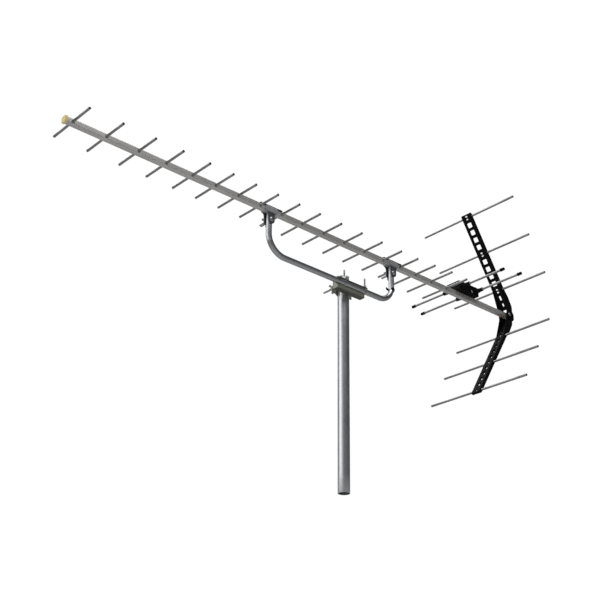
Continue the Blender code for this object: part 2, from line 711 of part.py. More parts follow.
def make_feed_cover(parent):
    x_low, x_high = BOX_STATIONS
    rim = BOX_RIM_RISE + GAP
    bm = bmesh.new()
    rings = []
    for rise, inset in ((rim, 0.0), (rim + 0.0030, 0.0), (COVER_TOP_RISE, 0.0040)):
        half = BOX_HALF_WIDTH + 0.0010 - inset
        near, far, cut = x_low - 0.0010 + inset, x_high + 0.0010 - inset, 0.005
        outline = [(near + cut, -half), (far - cut, -half), (far, -half + cut), (far, half - cut)]
        outline += [(far - cut, half), (near + cut, half), (near, half - cut), (near, -half + cut)]
        rings.append([at(x, y, rise) for x, y in outline])
    add_loft(bm, rings)
    hinge = at((x_low + x_high) / 2, -BOX_HALF_WIDTH - 0.0010, rim)
    cover = mesh_object("feed_box_cover", bm, BLACK_PLASTIC, origin=hinge)
    hollow = bmesh.new()
    low = at(x_low + 0.0040, -BOX_HALF_WIDTH + 0.0040, rim - 0.01)
    high = at(x_high - 0.0040, BOX_HALF_WIDTH - 0.0040, COVER_TOP_RISE - 0.0018)
    add_box(hollow, low, high)
    boolean(cover, local(hollow, cover), "DIFFERENCE", "hollow")
    attach(cover, joint_empty("feed_box_cover_axis", hinge, parent))


def make_balun(parent):
    low = at(BOX_STATIONS[0] + 0.0060, -0.0190, BOARD_RISE)
    high = at(BOX_STATIONS[1] - 0.0060, 0.0190, BOARD_RISE + BOARD_THICKNESS)
    bm = bmesh.new()
    add_box(bm, low, high)
    attach(mesh_object("balun_board", bm, BOARD, origin=(low + high) / 2), parent)


def make_coax_socket(parent):
    """The female coaxial connector on the box's rear wall, pointing at the reflector."""
    face = at(BOX_STATIONS[0] + BOX_WALL + 0.0015, SOCKET_OFFSET, SOCKET_RISE)
    nut_start, nut_end, tip = 0.0040, 0.0065, 0.0150
    profile = [(0.0, 0.0048), (nut_start, 0.0048), (nut_start + 0.0001, 0.0062), (nut_end, 0.0062)]
    profile += [(nut_end + 0.0001, 0.0047), (tip, 0.0047)]
    bm = bmesh.new()
    add_turned(bm, face, (-1, 0, 0), profile, sides=16)
    socket = mesh_object("coax_socket", bm, PLATED, origin=face)
    bore = bmesh.new()
    add_rod(bore, face - Vector((tip - 0.009, 0, 0)), face - Vector((tip + 0.005, 0, 0)), 0.0034)
    boolean(socket, local(bore, socket), "DIFFERENCE", "bore")
    attach(socket, parent)


def make_feed_box_screw(parent):
    """A pan-head screw in the box's side wall, which holds the box to its bracket on the boom."""
    face = at(BOX_STATIONS[0] + 0.0340, BOX_HALF_WIDTH + GAP, 0.0135)
    profile = [(0.0, 0.0036), (0.0012, 0.0036), (0.0020, 0.0026), (0.0024, 0.0012)]
    bm = bmesh.new()
    add_turned(bm, face, (0, 1, 0), profile, sides=12)
    attach(mesh_object("feed_box_screw", bm, PLATED, origin=face), parent)


# ---- corner reflector --------------------------------------------------------------------------------
HUB_SCREW_STATION = 0.0260
HUB_HALF_WIDTH = 0.0121
EAR_RADIUS = 0.0135
ARM_TIP = 0.3375
ARM_SHEET = 0.0020
FLANGE_FRONT_DEPTH = 0.0123
WEB_DEPTHS = (0.0129, 0.0146)
WEB_ROOT = 0.0160
WINDOWS_PER_ROD = 5
WINDOW_LENGTH = 0.0150
ROD_WINDOW = (0.0130, 0.0080)
ROOT_WINDOWS = [(0.0333, 0.0090, 0.0056), (0.0560, 0.0140, 0.0070)]
REFLECTOR_HALF_WIDTHS = {"upper": 0.0172, "lower": 0.0147}


def make_reflector_hub(parent):
    """The moulded block behind the boom's end, with a plug inside the boom."""
    plug = BOOM_SIDE / 2 - BOOM_WALL - GAP
    bm = bmesh.new()
    block = [(-0.0210, -0.0090), (-0.0145, -0.0160), (BOOM_REAR_STATION - GAP, -0.0160)]
    block += [(BOOM_REAR_STATION - GAP, 0.0160), (-0.0145, 0.0160), (-0.0210, 0.0090)]
    outline = [tuple(at(x, 0, z).xz) for x, z in block]
    add_prism(bm, outline, "Y", at(0, -HUB_HALF_WIDTH).y, at(0, HUB_HALF_WIDTH).y)
    hub = mesh_object("reflector_hub", bm, BLACK_PLASTIC, origin=PIVOT)
    tongue = bmesh.new()
    add_box(tongue, at(-0.012, -plug, -plug), at(0.036, plug, plug))
    boolean(hub, local(tongue, hub), "UNION", "plug")
    holes = bmesh.new()
    add_rod(holes, at(PIVOT_STATION, -0.02), at(PIVOT_STATION, 0.02), PIVOT_PIN_DIAMETER / 2 + GAP)
    add_rod(holes, at(HUB_SCREW_STATION, 0, -0.01), at(HUB_SCREW_STATION, 0, 0.002), 0.0023, sides=8)
    boolean(hub, local(holes, hub), "DIFFERENCE", "holes")
    attach(hub, parent)


def make_hub_screw(parent):
    face = at(HUB_SCREW_STATION, 0, -BOOM_SIDE / 2 - GAP)
    profile = [(-0.0030, 0.0030), (-0.0018, 0.0044), (0.0, 0.0044), (0.0001, 0.0020), (0.0078, 0.0020)]
    bm = bmesh.new()
    add_turned(bm, face, (0, 0, 1), profile, sides=12)
    attach(mesh_object("hub_screw", bm, BRASS, origin=face), parent)


def make_pivot_pin(parent):
    reach = REFLECTOR_HALF_WIDTHS["upper"] + GAP
    radius = PIVOT_PIN_DIAMETER / 2
    profile = [(-0.0024, 0.0028), (-0.0012, 0.0050), (0.0, 0.0050), (0.0001, radius)]
    profile += [(2 * reach, radius), (2 * reach + 0.0001, 0.0042), (2 * reach + 0.0018, 0.0042)]
    bm = bmesh.new()
    add_turned(bm, PIVOT + Vector((0, reach, 0)), (0, -1, 0), profile, sides=16)
    attach(mesh_object("reflector_pivot_pin", bm, PLATED, origin=PIVOT), parent)


def reflector_side_outline():
    """Side view of a reflector arm: distance along the arm from the pivot, and depth towards the rear."""
    rear_tip = REFLECTOR_ROD_SETBACK + 0.0048
    points = arc((0, 0), EAR_RADIUS, 250, 120, 8)
    points += [(0.0180, 0.0270), (0.0500, 0.0290), (0.0760, REFLECTOR_ROD_SETBACK + 0.0075)]
    points += [(ARM_TIP - 0.004, rear_tip), (ARM_TIP, rear_tip - 0.004)]
    points += [(ARM_TIP, FLANGE_FRONT_DEPTH + 0.002), (ARM_TIP - 0.002, FLANGE_FRONT_DEPTH)]
    points += [(0.0840, FLANGE_FRONT_DEPTH), (0.0230, -0.0020)]
    return points


def reflector_windows(half_width):
    """Windows of the web as (distance along the arm, length, width): large ones between the rods, small ones
    at the rods and narrow ones near the pivot."""
    pitch = (REFLECTOR_ROD_REACHES[1] - REFLECTOR_ROD_REACHES[0]) / WINDOWS_PER_ROD
    windows = list(ROOT_WINDOWS)
    for number in range(2 * WINDOWS_PER_ROD + 1):
        reach = REFLECTOR_ROD_REACHES[0] + number * pitch
        if number % WINDOWS_PER_ROD == 0:
            windows.append((reach, *ROD_WINDOW))
        else:
            windows.append((reach, WINDOW_LENGTH, 2 * (half_width - 0.0094)))
    return windows


def make_reflector_arm(place, side, parent):
    """side is 1 for the upper arm and -1 for the lower. Local x runs along the arm from the pivot."""
    half = REFLECTOR_HALF_WIDTHS[place]
    inner = half - ARM_SHEET
    bm = bmesh.new()
    add_prism(bm, [(x, side * z) for x, z in reflector_side_outline()], "Y", -half, half)
    turn = (0, -side * REFLECTOR_OPENING, 0)
    arm = mesh_object(f"reflector_arm_{place}", bm, BLACK_PLASTIC, origin=PIVOT, turn=turn)

    # The channel is open at the rear, and right through between the ears by the pivot.
    end = ARM_TIP - 0.0022
    pocket = [(-0.05, -0.05), (WEB_ROOT, -0.05), (WEB_ROOT, WEB_DEPTHS[1]), (end, WEB_DEPTHS[1])]
    pocket += [(end, 0.06), (-0.05, 0.06)]
    inside = bmesh.new()
    add_prism(inside, [(x, side * z) for x, z in pocket], "Y", -inner, inner)
    boolean(arm, inside, "DIFFERENCE", "channel")

    # The web lies a little behind the flanges' front edges, and further behind near the pivot.
    shallow, deep = sorted((side * -0.05, side * WEB_DEPTHS[0]))
    recess = bmesh.new()
    add_box(recess, (WEB_ROOT - 0.005, -inner, shallow), (end, inner, deep))
    boolean(arm, recess, "DIFFERENCE", "front_recess")

    windows = bmesh.new()
    shallow, deep = sorted((side * 0.0110, side * 0.0160))
    for reach, length, width in reflector_windows(half):
        low = (reach - length / 2, -width / 2, shallow)
        add_box(windows, low, (reach + length / 2, width / 2, deep))
    boolean(arm, windows, "DIFFERENCE", "windows")

    holes = bmesh.new()
    for reach in REFLECTOR_ROD_REACHES:
        centre = Vector((reach, 0, side * REFLECTOR_ROD_SETBACK))
        add_rod(holes, centre - Vector((0, 0.03, 0)), centre + Vector((0, 0.03, 0)), ROD_DIAMETER / 2 + GAP)
    add_rod(holes, (0, -0.03, 0), (0, 0.03, 0), PIVOT_PIN_DIAMETER / 2 + GAP)
    boolean(arm, holes, "DIFFERENCE", "rod_holes")
    attach(arm, parent)


def make_reflector(place, side, parent):
    hinge = joint_empty(f"reflector_{place}_axis", PIVOT, parent)
    make_reflector_arm(place, side, hinge)
    along = Vector((math.cos(REFLECTOR_OPENING), 0, side * math.sin(REFLECTOR_OPENING)))
    rear = Vector((-math.sin(REFLECTOR_OPENING), 0, side * math.cos(REFLECTOR_OPENING)))
    half = Vector((0, REFLECTOR_ROD_LENGTH / 2, 0))
    for number, reach in enumerate(REFLECTOR_ROD_REACHES, start=1):
        middle = PIVOT + reach * along + REFLECTOR_ROD_SETBACK * rear
        bm = bmesh.new()
        add_tube(bm, middle - half, middle + half, ROD_DIAMETER / 2, ROD_BORE / 2, sides=12)
        attach(mesh_object(f"reflector_rod_{place}_{number}", bm, ALUMINIUM, origin=middle), hinge)


# ---- assembly ----------------------------------------------------------------------------------------
def main():
    clear_scene()
    make_mast()

    swivel = joint_empty("mast_swivel", MAST_TOP)
    make_mast_bracket(swivel)
    make_mast_jaw(swivel)
    make_mast_bolts(swivel)
    make_arm_loops(swivel)

    antenna = joint_empty("arm_roll", ARM_AXIS, swivel)
    make_support_arm(antenna)
    make_boom_clamps(antenna)
    make_cable_clip(antenna)
    make_boom(antenna)
    make_boom_cap(antenna)
    make_directors(antenna)
    make_radiators(antenna)
    make_feed_box(antenna)
    make_feed_cover(antenna)
    make_balun(antenna)
    make_coax_socket(antenna)
    make_feed_box_screw(antenna)
    make_reflector_hub(antenna)
    make_hub_screw(antenna)
    make_pivot_pin(antenna)
    make_reflector("upper", 1, antenna)
    make_reflector("lower", -1, antenna)


main()
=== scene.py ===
import math

import bmesh
import bpy
from mathutils import Matrix, Vector


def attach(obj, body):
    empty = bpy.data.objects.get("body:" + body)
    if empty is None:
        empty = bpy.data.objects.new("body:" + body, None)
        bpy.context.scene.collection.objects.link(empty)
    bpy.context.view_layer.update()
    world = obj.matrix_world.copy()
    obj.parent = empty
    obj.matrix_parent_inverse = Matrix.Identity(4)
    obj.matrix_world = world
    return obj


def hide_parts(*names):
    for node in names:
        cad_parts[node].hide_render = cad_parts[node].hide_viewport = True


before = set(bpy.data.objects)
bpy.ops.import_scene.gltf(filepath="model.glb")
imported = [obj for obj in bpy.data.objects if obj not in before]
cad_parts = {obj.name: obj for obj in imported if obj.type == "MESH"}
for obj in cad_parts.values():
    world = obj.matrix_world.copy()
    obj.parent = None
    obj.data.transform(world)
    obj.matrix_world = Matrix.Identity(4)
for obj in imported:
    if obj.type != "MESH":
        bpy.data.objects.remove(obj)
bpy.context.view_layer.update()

# ---- driving dimensions, metres, as in the CAD part ----
MAST_RADIUS, MAST_WALL, MAST_HEIGHT = 0.0159, 0.0016, 0.603
MAST_STATION, BOOM_HEIGHT, BOOM_OFFSET = 0.6645, 0.684, 0.0322
BOOM_SIDE, BOOM_WALL, BOOM_CORNER = 0.015, 0.0012, 0.0022
BOOM_ENDS = (-0.004, 1.5635)
ROD_RADIUS, ROD_BORE_RADIUS = 0.0035, 0.0026
DIRECTOR_LENGTH = 0.155
REAR_DIRECTOR_LENGTHS = {16: 0.165, 17: 0.176, 18: 0.173}
REAR_DIRECTOR_STATION = 0.285
DIRECTOR_PITCHES = [0.0656] * 4 + [0.0758] * 4 + [0.0716] * 5 + [0.079] * 2 + [0.0895] * 2
RADIATOR_STATIONS = {"front": 0.23, "rear": 0.172}
RADIATOR_LENGTHS = {"front": 0.361, "rear": 0.393}
RADIATOR_RISE, RADIATOR_ROOT = 0.019, 0.008
BOX_STATIONS = (0.156, 0.246)
REFLECTOR_ROD_LENGTH = 0.357
OPENING = math.radians(58.6)
ROD_REACHES = [0.0795, 0.2027, 0.3259]
ROD_SETBACK = 0.0181
PIVOT_STATION = 0.006
ARM_DROP, ARM_RADIUS, ARM_BORE_RADIUS = 0.1186, 0.008, 0.0066
LEGS = {"front": 0.958, "rear": 0.51}
BENDS = {"front": 0.055, "rear": 0.05}
CLAMP_BOLT_DROP = 0.029
SADDLE_RADIUS = 0.0083  # of what goes round the support arm's tube
BOLT_HOLE_RADIUS, ROD_HOLE_RADIUS = 0.0033, ROD_RADIUS + 0.0002
X, Y, Z = Vector((1, 0, 0)), Vector((0, 1, 0)), Vector((0, 0, 1))


def at(station, offset=0.0, rise=0.0):
    """A point in the boom's frame: along it from the rear, to its left, and above its middle."""
    return Vector((station - MAST_STATION, BOOM_OFFSET + offset, BOOM_HEIGHT + rise))


def local(*point):
    return Vector(point)


PIVOT = at(PIVOT_STATION)


# ---- materials ----
def tree_of(name):
    made = bpy.data.materials.new(name)
    made.use_nodes = True
    return made, made.node_tree, made.node_tree.nodes["Principled BSDF"]


def node(tree, kind, output, inputs, **settings):
    """Adds a node, links its inputs or sets them, and returns one of its outputs."""
    made = tree.nodes.new(kind)
    for key, value in settings.items():
        setattr(made, key, value)
    for key, value in inputs.items():
        if isinstance(value, bpy.types.NodeSocket):
            tree.links.new(value, made.inputs[key])
        else:
            made.inputs[key].default_value = value
    return made.outputs[output]


def coordinates(tree, stretch=(1, 1, 1)):
    """Object coordinates in metres, stretched."""
    plain = node(tree, "ShaderNodeTexCoord", "Object", {})
    return node(tree, "ShaderNodeMapping", "Vector", {"Vector": plain, "Scale": stretch})


def noise_of(tree, vector, scale, detail=4.0, roughness=0.55):
    inputs = {"Vector": vector, "Scale": scale, "Detail": detail, "Roughness": roughness}
    return node(tree, "ShaderNodeTexNoise", "Fac", inputs)


def ramp(tree, factor, stops):
    """A colour ramp. Each stop is (position, colour or grey)."""
    made = tree.nodes.new("ShaderNodeValToRGB")
    elements = made.color_ramp.elements
    while len(elements) < len(stops):
        elements.new(0.5)
    for element, (position, colour) in zip(elements, stops):
        element.position = position
        colour = (colour,) * 3 if isinstance(colour, (int, float)) else colour
        element.color = (*colour, 1.0)
    tree.links.new(factor, made.inputs["Fac"])
    return made.outputs["Color"]


def mix(tree, factor, first, second, kind="MIX"):
    inputs = {0: factor, 6: first, 7: second}
    return node(tree, "ShaderNodeMix", 2, inputs, data_type="RGBA", blend_type=kind)


def finish(tree, shader, colour, roughness, height, relief, depth):
    """Links colour and roughness to the shader, and raises a fine relief."""
    inputs = {"Height": height, "Strength": relief, "Distance": depth}
    tree.links.new(colour, shader.inputs["Base Color"])
    tree.links.new(roughness, shader.inputs["Roughness"])
    tree.links.new(node(tree, "ShaderNodeBump", "Normal", inputs), shader.inputs["Normal"])


def metal(name, dark, light, rough, grain=(1, 1, 1), metallic=1.0, grain_scale=420.0, patch_scale=9.0,
          relief=0.25):
    """Metal with large soft patches and fine drawn or rolled lines along the short direction of grain."""
    made, tree, shader = tree_of(name)
    plain = coordinates(tree)
    lines = noise_of(tree, coordinates(tree, grain), grain_scale, 3.0, 0.6)
    tone = ramp(tree, noise_of(tree, plain, patch_scale, 6.0, 0.6), [(0.3, dark), (0.7, light)])
    colour = mix(tree, 0.75, tone, ramp(tree, lines, [(0.25, 0.82), (0.75, 1.0)]), "MULTIPLY")
    worn = mix(tree, 0.45, noise_of(tree, plain, patch_scale * 5, 5.0, 0.65), lines)
    roughness = ramp(tree, worn, [(0.3, rough[0]), (0.72, rough[1])])
    shader.inputs["Metallic"].default_value = metallic
    finish(tree, shader, colour, roughness, lines, relief, 0.00006)
    return made


def galvanised(name, dark, light, rough):
    """Zinc-coated steel: faint crystals, faint streaks along the tube and dull patches."""
    made, tree, shader = tree_of(name)
    plain = coordinates(tree)
    crystals = node(tree, "ShaderNodeTexVoronoi", "Color", {"Vector": plain, "Scale": 120.0})
    patches = noise_of(tree, plain, 7.0, 6.0, 0.62)
    streaks = noise_of(tree, coordinates(tree, (60, 60, 1.5)), 8.0, 4.0, 0.6)
    tone = ramp(tree, patches, [(0.28, dark), (0.72, light)])
    cells = ramp(tree, crystals, [(0.0, 0.9), (1.0, 1.0)])
    roughness = ramp(tree, mix(tree, 0.5, patches, streaks), [(0.3, rough[0]), (0.7, rough[1])])
    relief = mix(tree, 0.35, streaks, noise_of(tree, plain, 900.0, 3.0, 0.6))
    shader.inputs["Metallic"].default_value = 1.0
    finish(tree, shader, mix(tree, 0.8, tone, cells, "MULTIPLY"), roughness, relief, 0.22, 0.00008)
    return made


def plastic(name, dark, light, rough, grain_scale=1500.0, relief=0.25, coat=0.0, specular=0.5):
    """Moulded plastic: fine spark-eroded grain, faint flow marks and light rubbing."""
    made, tree, shader = tree_of(name)
    plain = coordinates(tree)
    tone = ramp(tree, noise_of(tree, plain, 22.0, 5.0, 0.6), [(0.3, dark), (0.7, light)])
    rubbed = ramp(tree, noise_of(tree, plain, 90.0, 6.0, 0.65), [(0.3, rough[0]), (0.7, rough[1])])
    shader.inputs["Coat Weight"].default_value = coat
    shader.inputs["Specular IOR Level"].default_value = specular
    finish(tree, shader, tone, rubbed, noise_of(tree, plain, grain_scale, 2.0, 0.5), relief, 0.00005)
    return made


def painted_shade_below(made, low, high, shade_tone, ragged):
    """Paints shade into a material below a level of the boom's frame: its colour is darkened there, with a
    soft and slightly ragged edge.
    """
    tree, shader = made.node_tree, made.node_tree.nodes["Principled BSDF"]
    plain = coordinates(tree)
    height = node(tree, "ShaderNodeSeparateXYZ", "Z", {0: plain})
    inputs = {0: noise_of(tree, plain, 160.0, 4.0, 0.6), 1: ragged, 2: height}
    edge = node(tree, "ShaderNodeMath", 0, inputs, operation="MULTIPLY_ADD")
    inputs = {"Value": edge, "From Min": BOOM_HEIGHT + low, "From Max": BOOM_HEIGHT + high}
    fade = node(tree, "ShaderNodeMapRange", "Result", inputs)
    shade_ramp = ramp(tree, fade, [(0.0, shade_tone), (1.0, 1.0)])
    colour = shader.inputs["Base Color"].links[0].from_socket
    tree.links.new(mix(tree, 1.0, colour, shade_ramp, "MULTIPLY"), shader.inputs["Base Color"])
    return made


def sheet_zinc(name, dark, light):
    """Pressed zinc-plated sheet."""
    return metal(name, dark, light, (0.36, 0.52), (1, 6, 6), 0.65, relief=0.2)


def grey(value, tint=(1.0, 1.0, 1.0)):
    return tuple(value * channel for channel in tint)


def make_materials():
    cool, warm = (0.97, 1.0, 1.04), (1.015, 1.0, 0.975)
    mast = galvanised("mast_zinc", grey(0.6, cool), grey(0.74, cool), (0.26, 0.4))
    arm = galvanised("arm_zinc", grey(0.62, cool), grey(0.76, cool), (0.24, 0.36))
    sheet = sheet_zinc("sheet_zinc", grey(0.54, cool), grey(0.62, cool))
    bracket = sheet_zinc("bracket_zinc", (0.36, 0.365, 0.3), (0.46, 0.455, 0.39))
    return {
        "mast": mast,
        # Painted shade below a height: on the arm's lower run and bends, the clamp saddles' lower sides and
        # the bracket floor's underside.
        "arm": painted_shade_below(arm, -0.088, -0.084, 0.64, 0.002),
        "sheet": painted_shade_below(sheet, -0.0085, -0.0035, 0.22, 0.004),
        "bracket": painted_shade_below(bracket, -0.1398, -0.1378, 0.24, 0.001),
        "bolt": metal("bolt_zinc", grey(0.4, cool), grey(0.56, cool), (0.26, 0.42), (3, 1, 3),
                      patch_scale=40.0),
        # Painted shadow: a near-black thin sheet on the boom's top either side of each clamp.
        "strip": metal("painted_shadow_sheet", grey(0.05, cool), grey(0.09, cool), (0.4, 0.55), (1, 6, 6), relief=0.2),
        "boom": metal("boom_aluminium", grey(0.54, warm), grey(0.63, warm), (0.42, 0.55), (0.02, 1, 1), 0.6,
                      900.0, relief=0.08),
        "rod": metal("rod_aluminium", grey(0.27), grey(0.36), (0.18, 0.28), (1, 0.02, 1), 1.0, 1400.0, 14.0),
        "black": plastic("black_plastic", grey(0.003), grey(0.006), (0.52, 0.72), specular=0.08),
        "yellow": plastic("yellow_plastic", (0.93, 0.72, 0.28), (0.98, 0.8, 0.36), (0.34, 0.48), relief=0.12),
        "brass": metal("screw_brass", (0.42, 0.17, 0.06), (0.58, 0.28, 0.1), (0.3, 0.5), patch_scale=120.0),
        "copper": metal("copper_wire", (0.55, 0.24, 0.12), (0.72, 0.36, 0.2), (0.25, 0.4), patch_scale=90.0),
        "solder": metal("solder_tin", grey(0.6), grey(0.76), (0.18, 0.35), patch_scale=200.0),
        "board": plastic("board_green", (0.015, 0.1, 0.035), (0.03, 0.15, 0.055), (0.25, 0.4), 400.0, 0.1,
                         0.3),
        "ferrite": plastic("ferrite_grey", grey(0.035), grey(0.055), (0.5, 0.7), 2200.0, 0.4),
        "ceramic": plastic("ceramic_tan", (0.46, 0.26, 0.1), (0.56, 0.34, 0.15), (0.2, 0.35), 900.0, 0.1,
                           0.4),
    }


MATERIALS = make_materials()
SLOTS = {
    "mast": "galvanised", "arm": "galvanised", "boom": "aluminium", "rod": "aluminium",
    "black": "black_plastic", "ferrite": "black_plastic", "yellow": "yellow_plastic",
    "brass": "brass", "copper": "brass", "ceramic": "brass", "board": "board",
}


# ---- shapes: each is added to the mesh it is given, or starts one ----
def loft(rings, close=False, bm=None):
    """A skin over rings of points, with a cap on each end or the last ring joined to the first."""
    bm = bmesh.new() if bm is None else bm
    loops = [[bm.verts.new(p) for p in ring] for ring in rings]
    pairs = list(zip(loops, loops[1:]))
    if close:
        pairs.append((loops[-1], loops[0]))
    count = len(loops[0])
    for first, second in pairs:
        for i in range(count):
            j = (i + 1) % count
            bm.faces.new((first[i], first[j], second[j], second[i]))
    if not close:
        bm.faces.new(loops[0][::-1])
        bm.faces.new(loops[-1])
    return bm


def cross_axes(direction):
    direction = Vector(direction).normalized()
    helper = Z if abs(direction.z) < 0.9 else X
    across = direction.cross(helper).normalized()
    return across, direction.cross(across).normalized()


def circle(centre, across, up, radius, sides):
    points = []
    for i in range(sides):
        angle = (i + 0.5) * 2 * math.pi / sides
        points.append(centre + radius * (math.cos(angle) * across + math.sin(angle) * up))
    return points


def turned(start, direction, profile, sides=32, close=False, bm=None):
    """A turned shape. Its profile's points are (distance along direction, radius)."""
    across, up = cross_axes(direction)
    along = Vector(direction).normalized()
    return loft([circle(Vector(start) + t * along, across, up, r, sides) for t, r in profile], close, bm)


def prism(outline, axis, low, high, base=at, bm=None):
    """A flat outline pushed from low to high along an axis, in the boom's frame or, with local, its own."""
    order = {"X": (2, 0, 1), "Y": (0, 2, 1), "Z": (0, 1, 2)}[axis]
    rings = []
    for level in (low, high):
        rings.append([base(*((a, b, level)[k] for k in order)) for a, b in outline])
    return loft(rings, bm=bm)


def box(low, high, bm=None):
    bm = bmesh.new() if bm is None else bm
    low, high = Vector(low), Vector(high)
    made = bmesh.ops.create_cube(bm, size=1.0)
    move = Matrix.Translation((low + high) / 2) @ Matrix.Diagonal((*(high - low), 1.0))
    bmesh.ops.transform(bm, matrix=move, verts=made["verts"])
    return bm


def thread(start, direction, length, radius, pitch=0.001, depth=0.0005, sides=16, bm=None):
    """A screw thread with chamfered ends."""
    across, up = cross_axes(direction)
    along = Vector(direction).normalized()
    steps = max(8, int(length / pitch * 5))
    rings = []
    for k in range(steps + 1):
        t = length * k / steps
        centre = Vector(start) + t * along
        chamfer = min(t, length - t) / pitch
        ring = []
        for i in range(sides):
            angle = 2 * math.pi * i / sides
            phase = (t / pitch - i / sides) % 1.0
            r = radius - depth * (1 - min(1.0, 2.2 * abs(phase - 0.5)))
            r = min(r, radius - depth * 1.2 * max(0.0, 1 - chamfer))
            ring.append(centre + r * (math.cos(angle) * across + math.sin(angle) * up))
        rings.append(ring)
    return loft(rings, bm=bm)


def swept_circle(path, across, radius, sides, closed=False):
    """Rings of a round bar along points in a plane square to across."""
    rings = []
    last = len(path) - 1
    for i, point in enumerate(path):
        before = path[i - 1] if closed or i else point
        after = path[(i + 1) % len(path)] if closed or i < last else point
        along = (after - before).normalized()
        rings.append(circle(point, across, along.cross(across).normalized(), radius, sides))
    return rings


# ---- outlines ----
def arc(centre, radius, start, end, steps):
    points = []
    for i in range(steps + 1):
        angle = math.radians(start + (end - start) * i / steps)
        points.append((centre[0] + radius * math.cos(angle), centre[1] + radius * math.sin(angle)))
    return points


def rounded_box(half_a, half_b, corner, steps=5):
    points = []
    for quarter in range(4):
        ca = (half_a - corner) * (1 if quarter in (0, 3) else -1)
        cb = (half_b - corner) * (1 if quarter in (0, 1) else -1)
        points += arc((ca, cb), corner, 90 * quarter, 90 * quarter + 90, steps)
    return points


def bend_points(before, here, after, reach, steps):
    """A smooth bend at here that leaves each side at reach from it."""
    start = here + (before - here).normalized() * reach
    end = here + (after - here).normalized() * reach
    points = []
    for step in range(steps + 1):
        t = step / steps
        points.append(tuple(start * (1 - t) ** 2 + here * 2 * t * (1 - t) + end * t * t))
    return points


def rounded_polygon(points, radius, steps=4):
    """A flat outline with each corner rounded, by at most radius."""
    made = []
    count = len(points)
    for i in range(count):
        before, here, after = (Vector(points[(i + k) % count]) for k in (-1, 0, 1))
        reach = min(radius, (before - here).length * 0.45, (after - here).length * 0.45)
        made += bend_points(before, here, after, reach, steps)
    return made


def smooth_path(points, per_span):
    """A closed Catmull-Rom curve through flat points."""
    made = []
    count = len(points)
    for i in range(count):
        p0, p1, p2, p3 = (Vector(points[(i + k) % count]) for k in (-1, 0, 1, 2))
        for step in range(per_span):
            t = step / per_span
            a = 2 * p1
            b = p2 - p0
            c = 2 * p0 - 5 * p1 + 4 * p2 - p3
            d = 3 * p1 - p0 - 3 * p2 + p3
            made.append(tuple(0.5 * (a + b * t + c * t * t + d * t ** 3)))
    return made


def sheet_section(path, thick, radius, steps=5):
    """Outline of bent sheet: path is its outer face as flat points, material to the left of travel."""
    outer = [Vector(p) for p in path]
    inner = []
    for i, point in enumerate(outer):
        first = (outer[i] - outer[i - 1]).normalized() if i else (outer[1] - outer[0]).normalized()
        last = (outer[i + 1] - outer[i]).normalized() if i < len(outer) - 1 else first
        n1, n2 = Vector((-first.y, first.x)), Vector((-last.y, last.x))
        bisect = (n1 + n2).normalized()
        inner.append(point + bisect * (thick / max(0.2, bisect.dot(n1))))

    def rounded(points, bend):
        made = [tuple(points[0])]
        for corner in zip(points, points[1:], points[2:]):
            made += bend_points(*corner, bend, steps)
        return made + [tuple(points[-1])]

    return rounded(outer, radius) + rounded(inner, max(radius - thick, 0.0004))[::-1]


def tube_profile(length, radius=ROD_RADIUS, bore=ROD_BORE_RADIUS, spans=6, bore_edge=0.00024):
    """Closed profile of a tube with rolled ends, from its start."""
    edge = 0.0004
    shoulder, lip = (edge * 0.3, radius - edge * 0.3), bore + bore_edge
    points = [(0.0, lip), (0.0, radius - edge), shoulder, (edge, radius)]
    points += [(length * k / spans, radius) for k in range(1, spans)]
    points += [(length - edge, radius), (length - shoulder[0], shoulder[1]), (length, radius - edge)]
    return points + [(length, lip), (length - edge, bore), (edge, bore)]


# ---- pieces ----
def mesh_from(name, bm, angle=35.0):
    bmesh.ops.recalc_face_normals(bm, faces=bm.faces)
    mesh = bpy.data.meshes.new(name)
    bm.to_mesh(mesh)
    bm.free()
    mesh.shade_smooth()
    mesh.set_sharp_from_angle(angle=math.radians(angle))
    obj = bpy.data.objects.new(name, mesh)
    bpy.context.scene.collection.objects.link(obj)
    return obj


def cut(obj, bm, operation="DIFFERENCE"):
    """Cuts or joins the solid bm now, and leaves a plain mesh."""
    bmesh.ops.recalc_face_normals(bm, faces=bm.faces)
    mesh = bpy.data.meshes.new("tool")
    bm.to_mesh(mesh)
    bm.free()
    tool = bpy.data.objects.new("tool", mesh)
    bpy.context.scene.collection.objects.link(tool)
    modifier = obj.modifiers.new("cut", "BOOLEAN")
    modifier.operation, modifier.solver, modifier.object = operation, "EXACT", tool
    graph = bpy.context.evaluated_depsgraph_get()
    made = bpy.data.meshes.new_from_object(obj.evaluated_get(graph))
    obj.modifiers.remove(modifier)
    old, obj.data = obj.data, made
    bpy.data.meshes.remove(old)
    bpy.data.objects.remove(tool)
    bpy.data.meshes.remove(mesh)


def drill(obj, holes, sides=32):
    """Cuts round holes, each given by its start, direction, length and radius."""
    bm = bmesh.new()
    for start, direction, length, radius in holes:
        turned(start, direction, [(0.0, radius), (length, radius)], sides, bm=bm)
    cut(obj, bm)


def place(obj, looks, *nodes, body="antenna", slot=None, bevel=0.0, limit=50.0, turn=None, origin=None):
    """Colours, turns, bevels and hangs a piece on its body, standing for the nodes it names."""
    obj.data.materials.append(MATERIALS[looks])
    slot = slot or SLOTS.get(looks, "plated")
    if turn is not None:
        obj.data.transform(Matrix.Translation(origin) @ Matrix.Rotation(turn, 4, "Y"))
    if bevel:
        modifier = obj.modifiers.new("edges", "BEVEL")
        modifier.width, modifier.segments = bevel, 2
        modifier.limit_method, modifier.angle_limit = "ANGLE", math.radians(limit)
        modifier.harden_normals = True
    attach(obj, body)
    if nodes:
        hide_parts(*nodes)


def piece(name, bm, looks, *nodes, angle=35.0, **how):
    """A piece that needs no cuts."""
    place(mesh_from(name, bm, angle), looks, *nodes, **how)


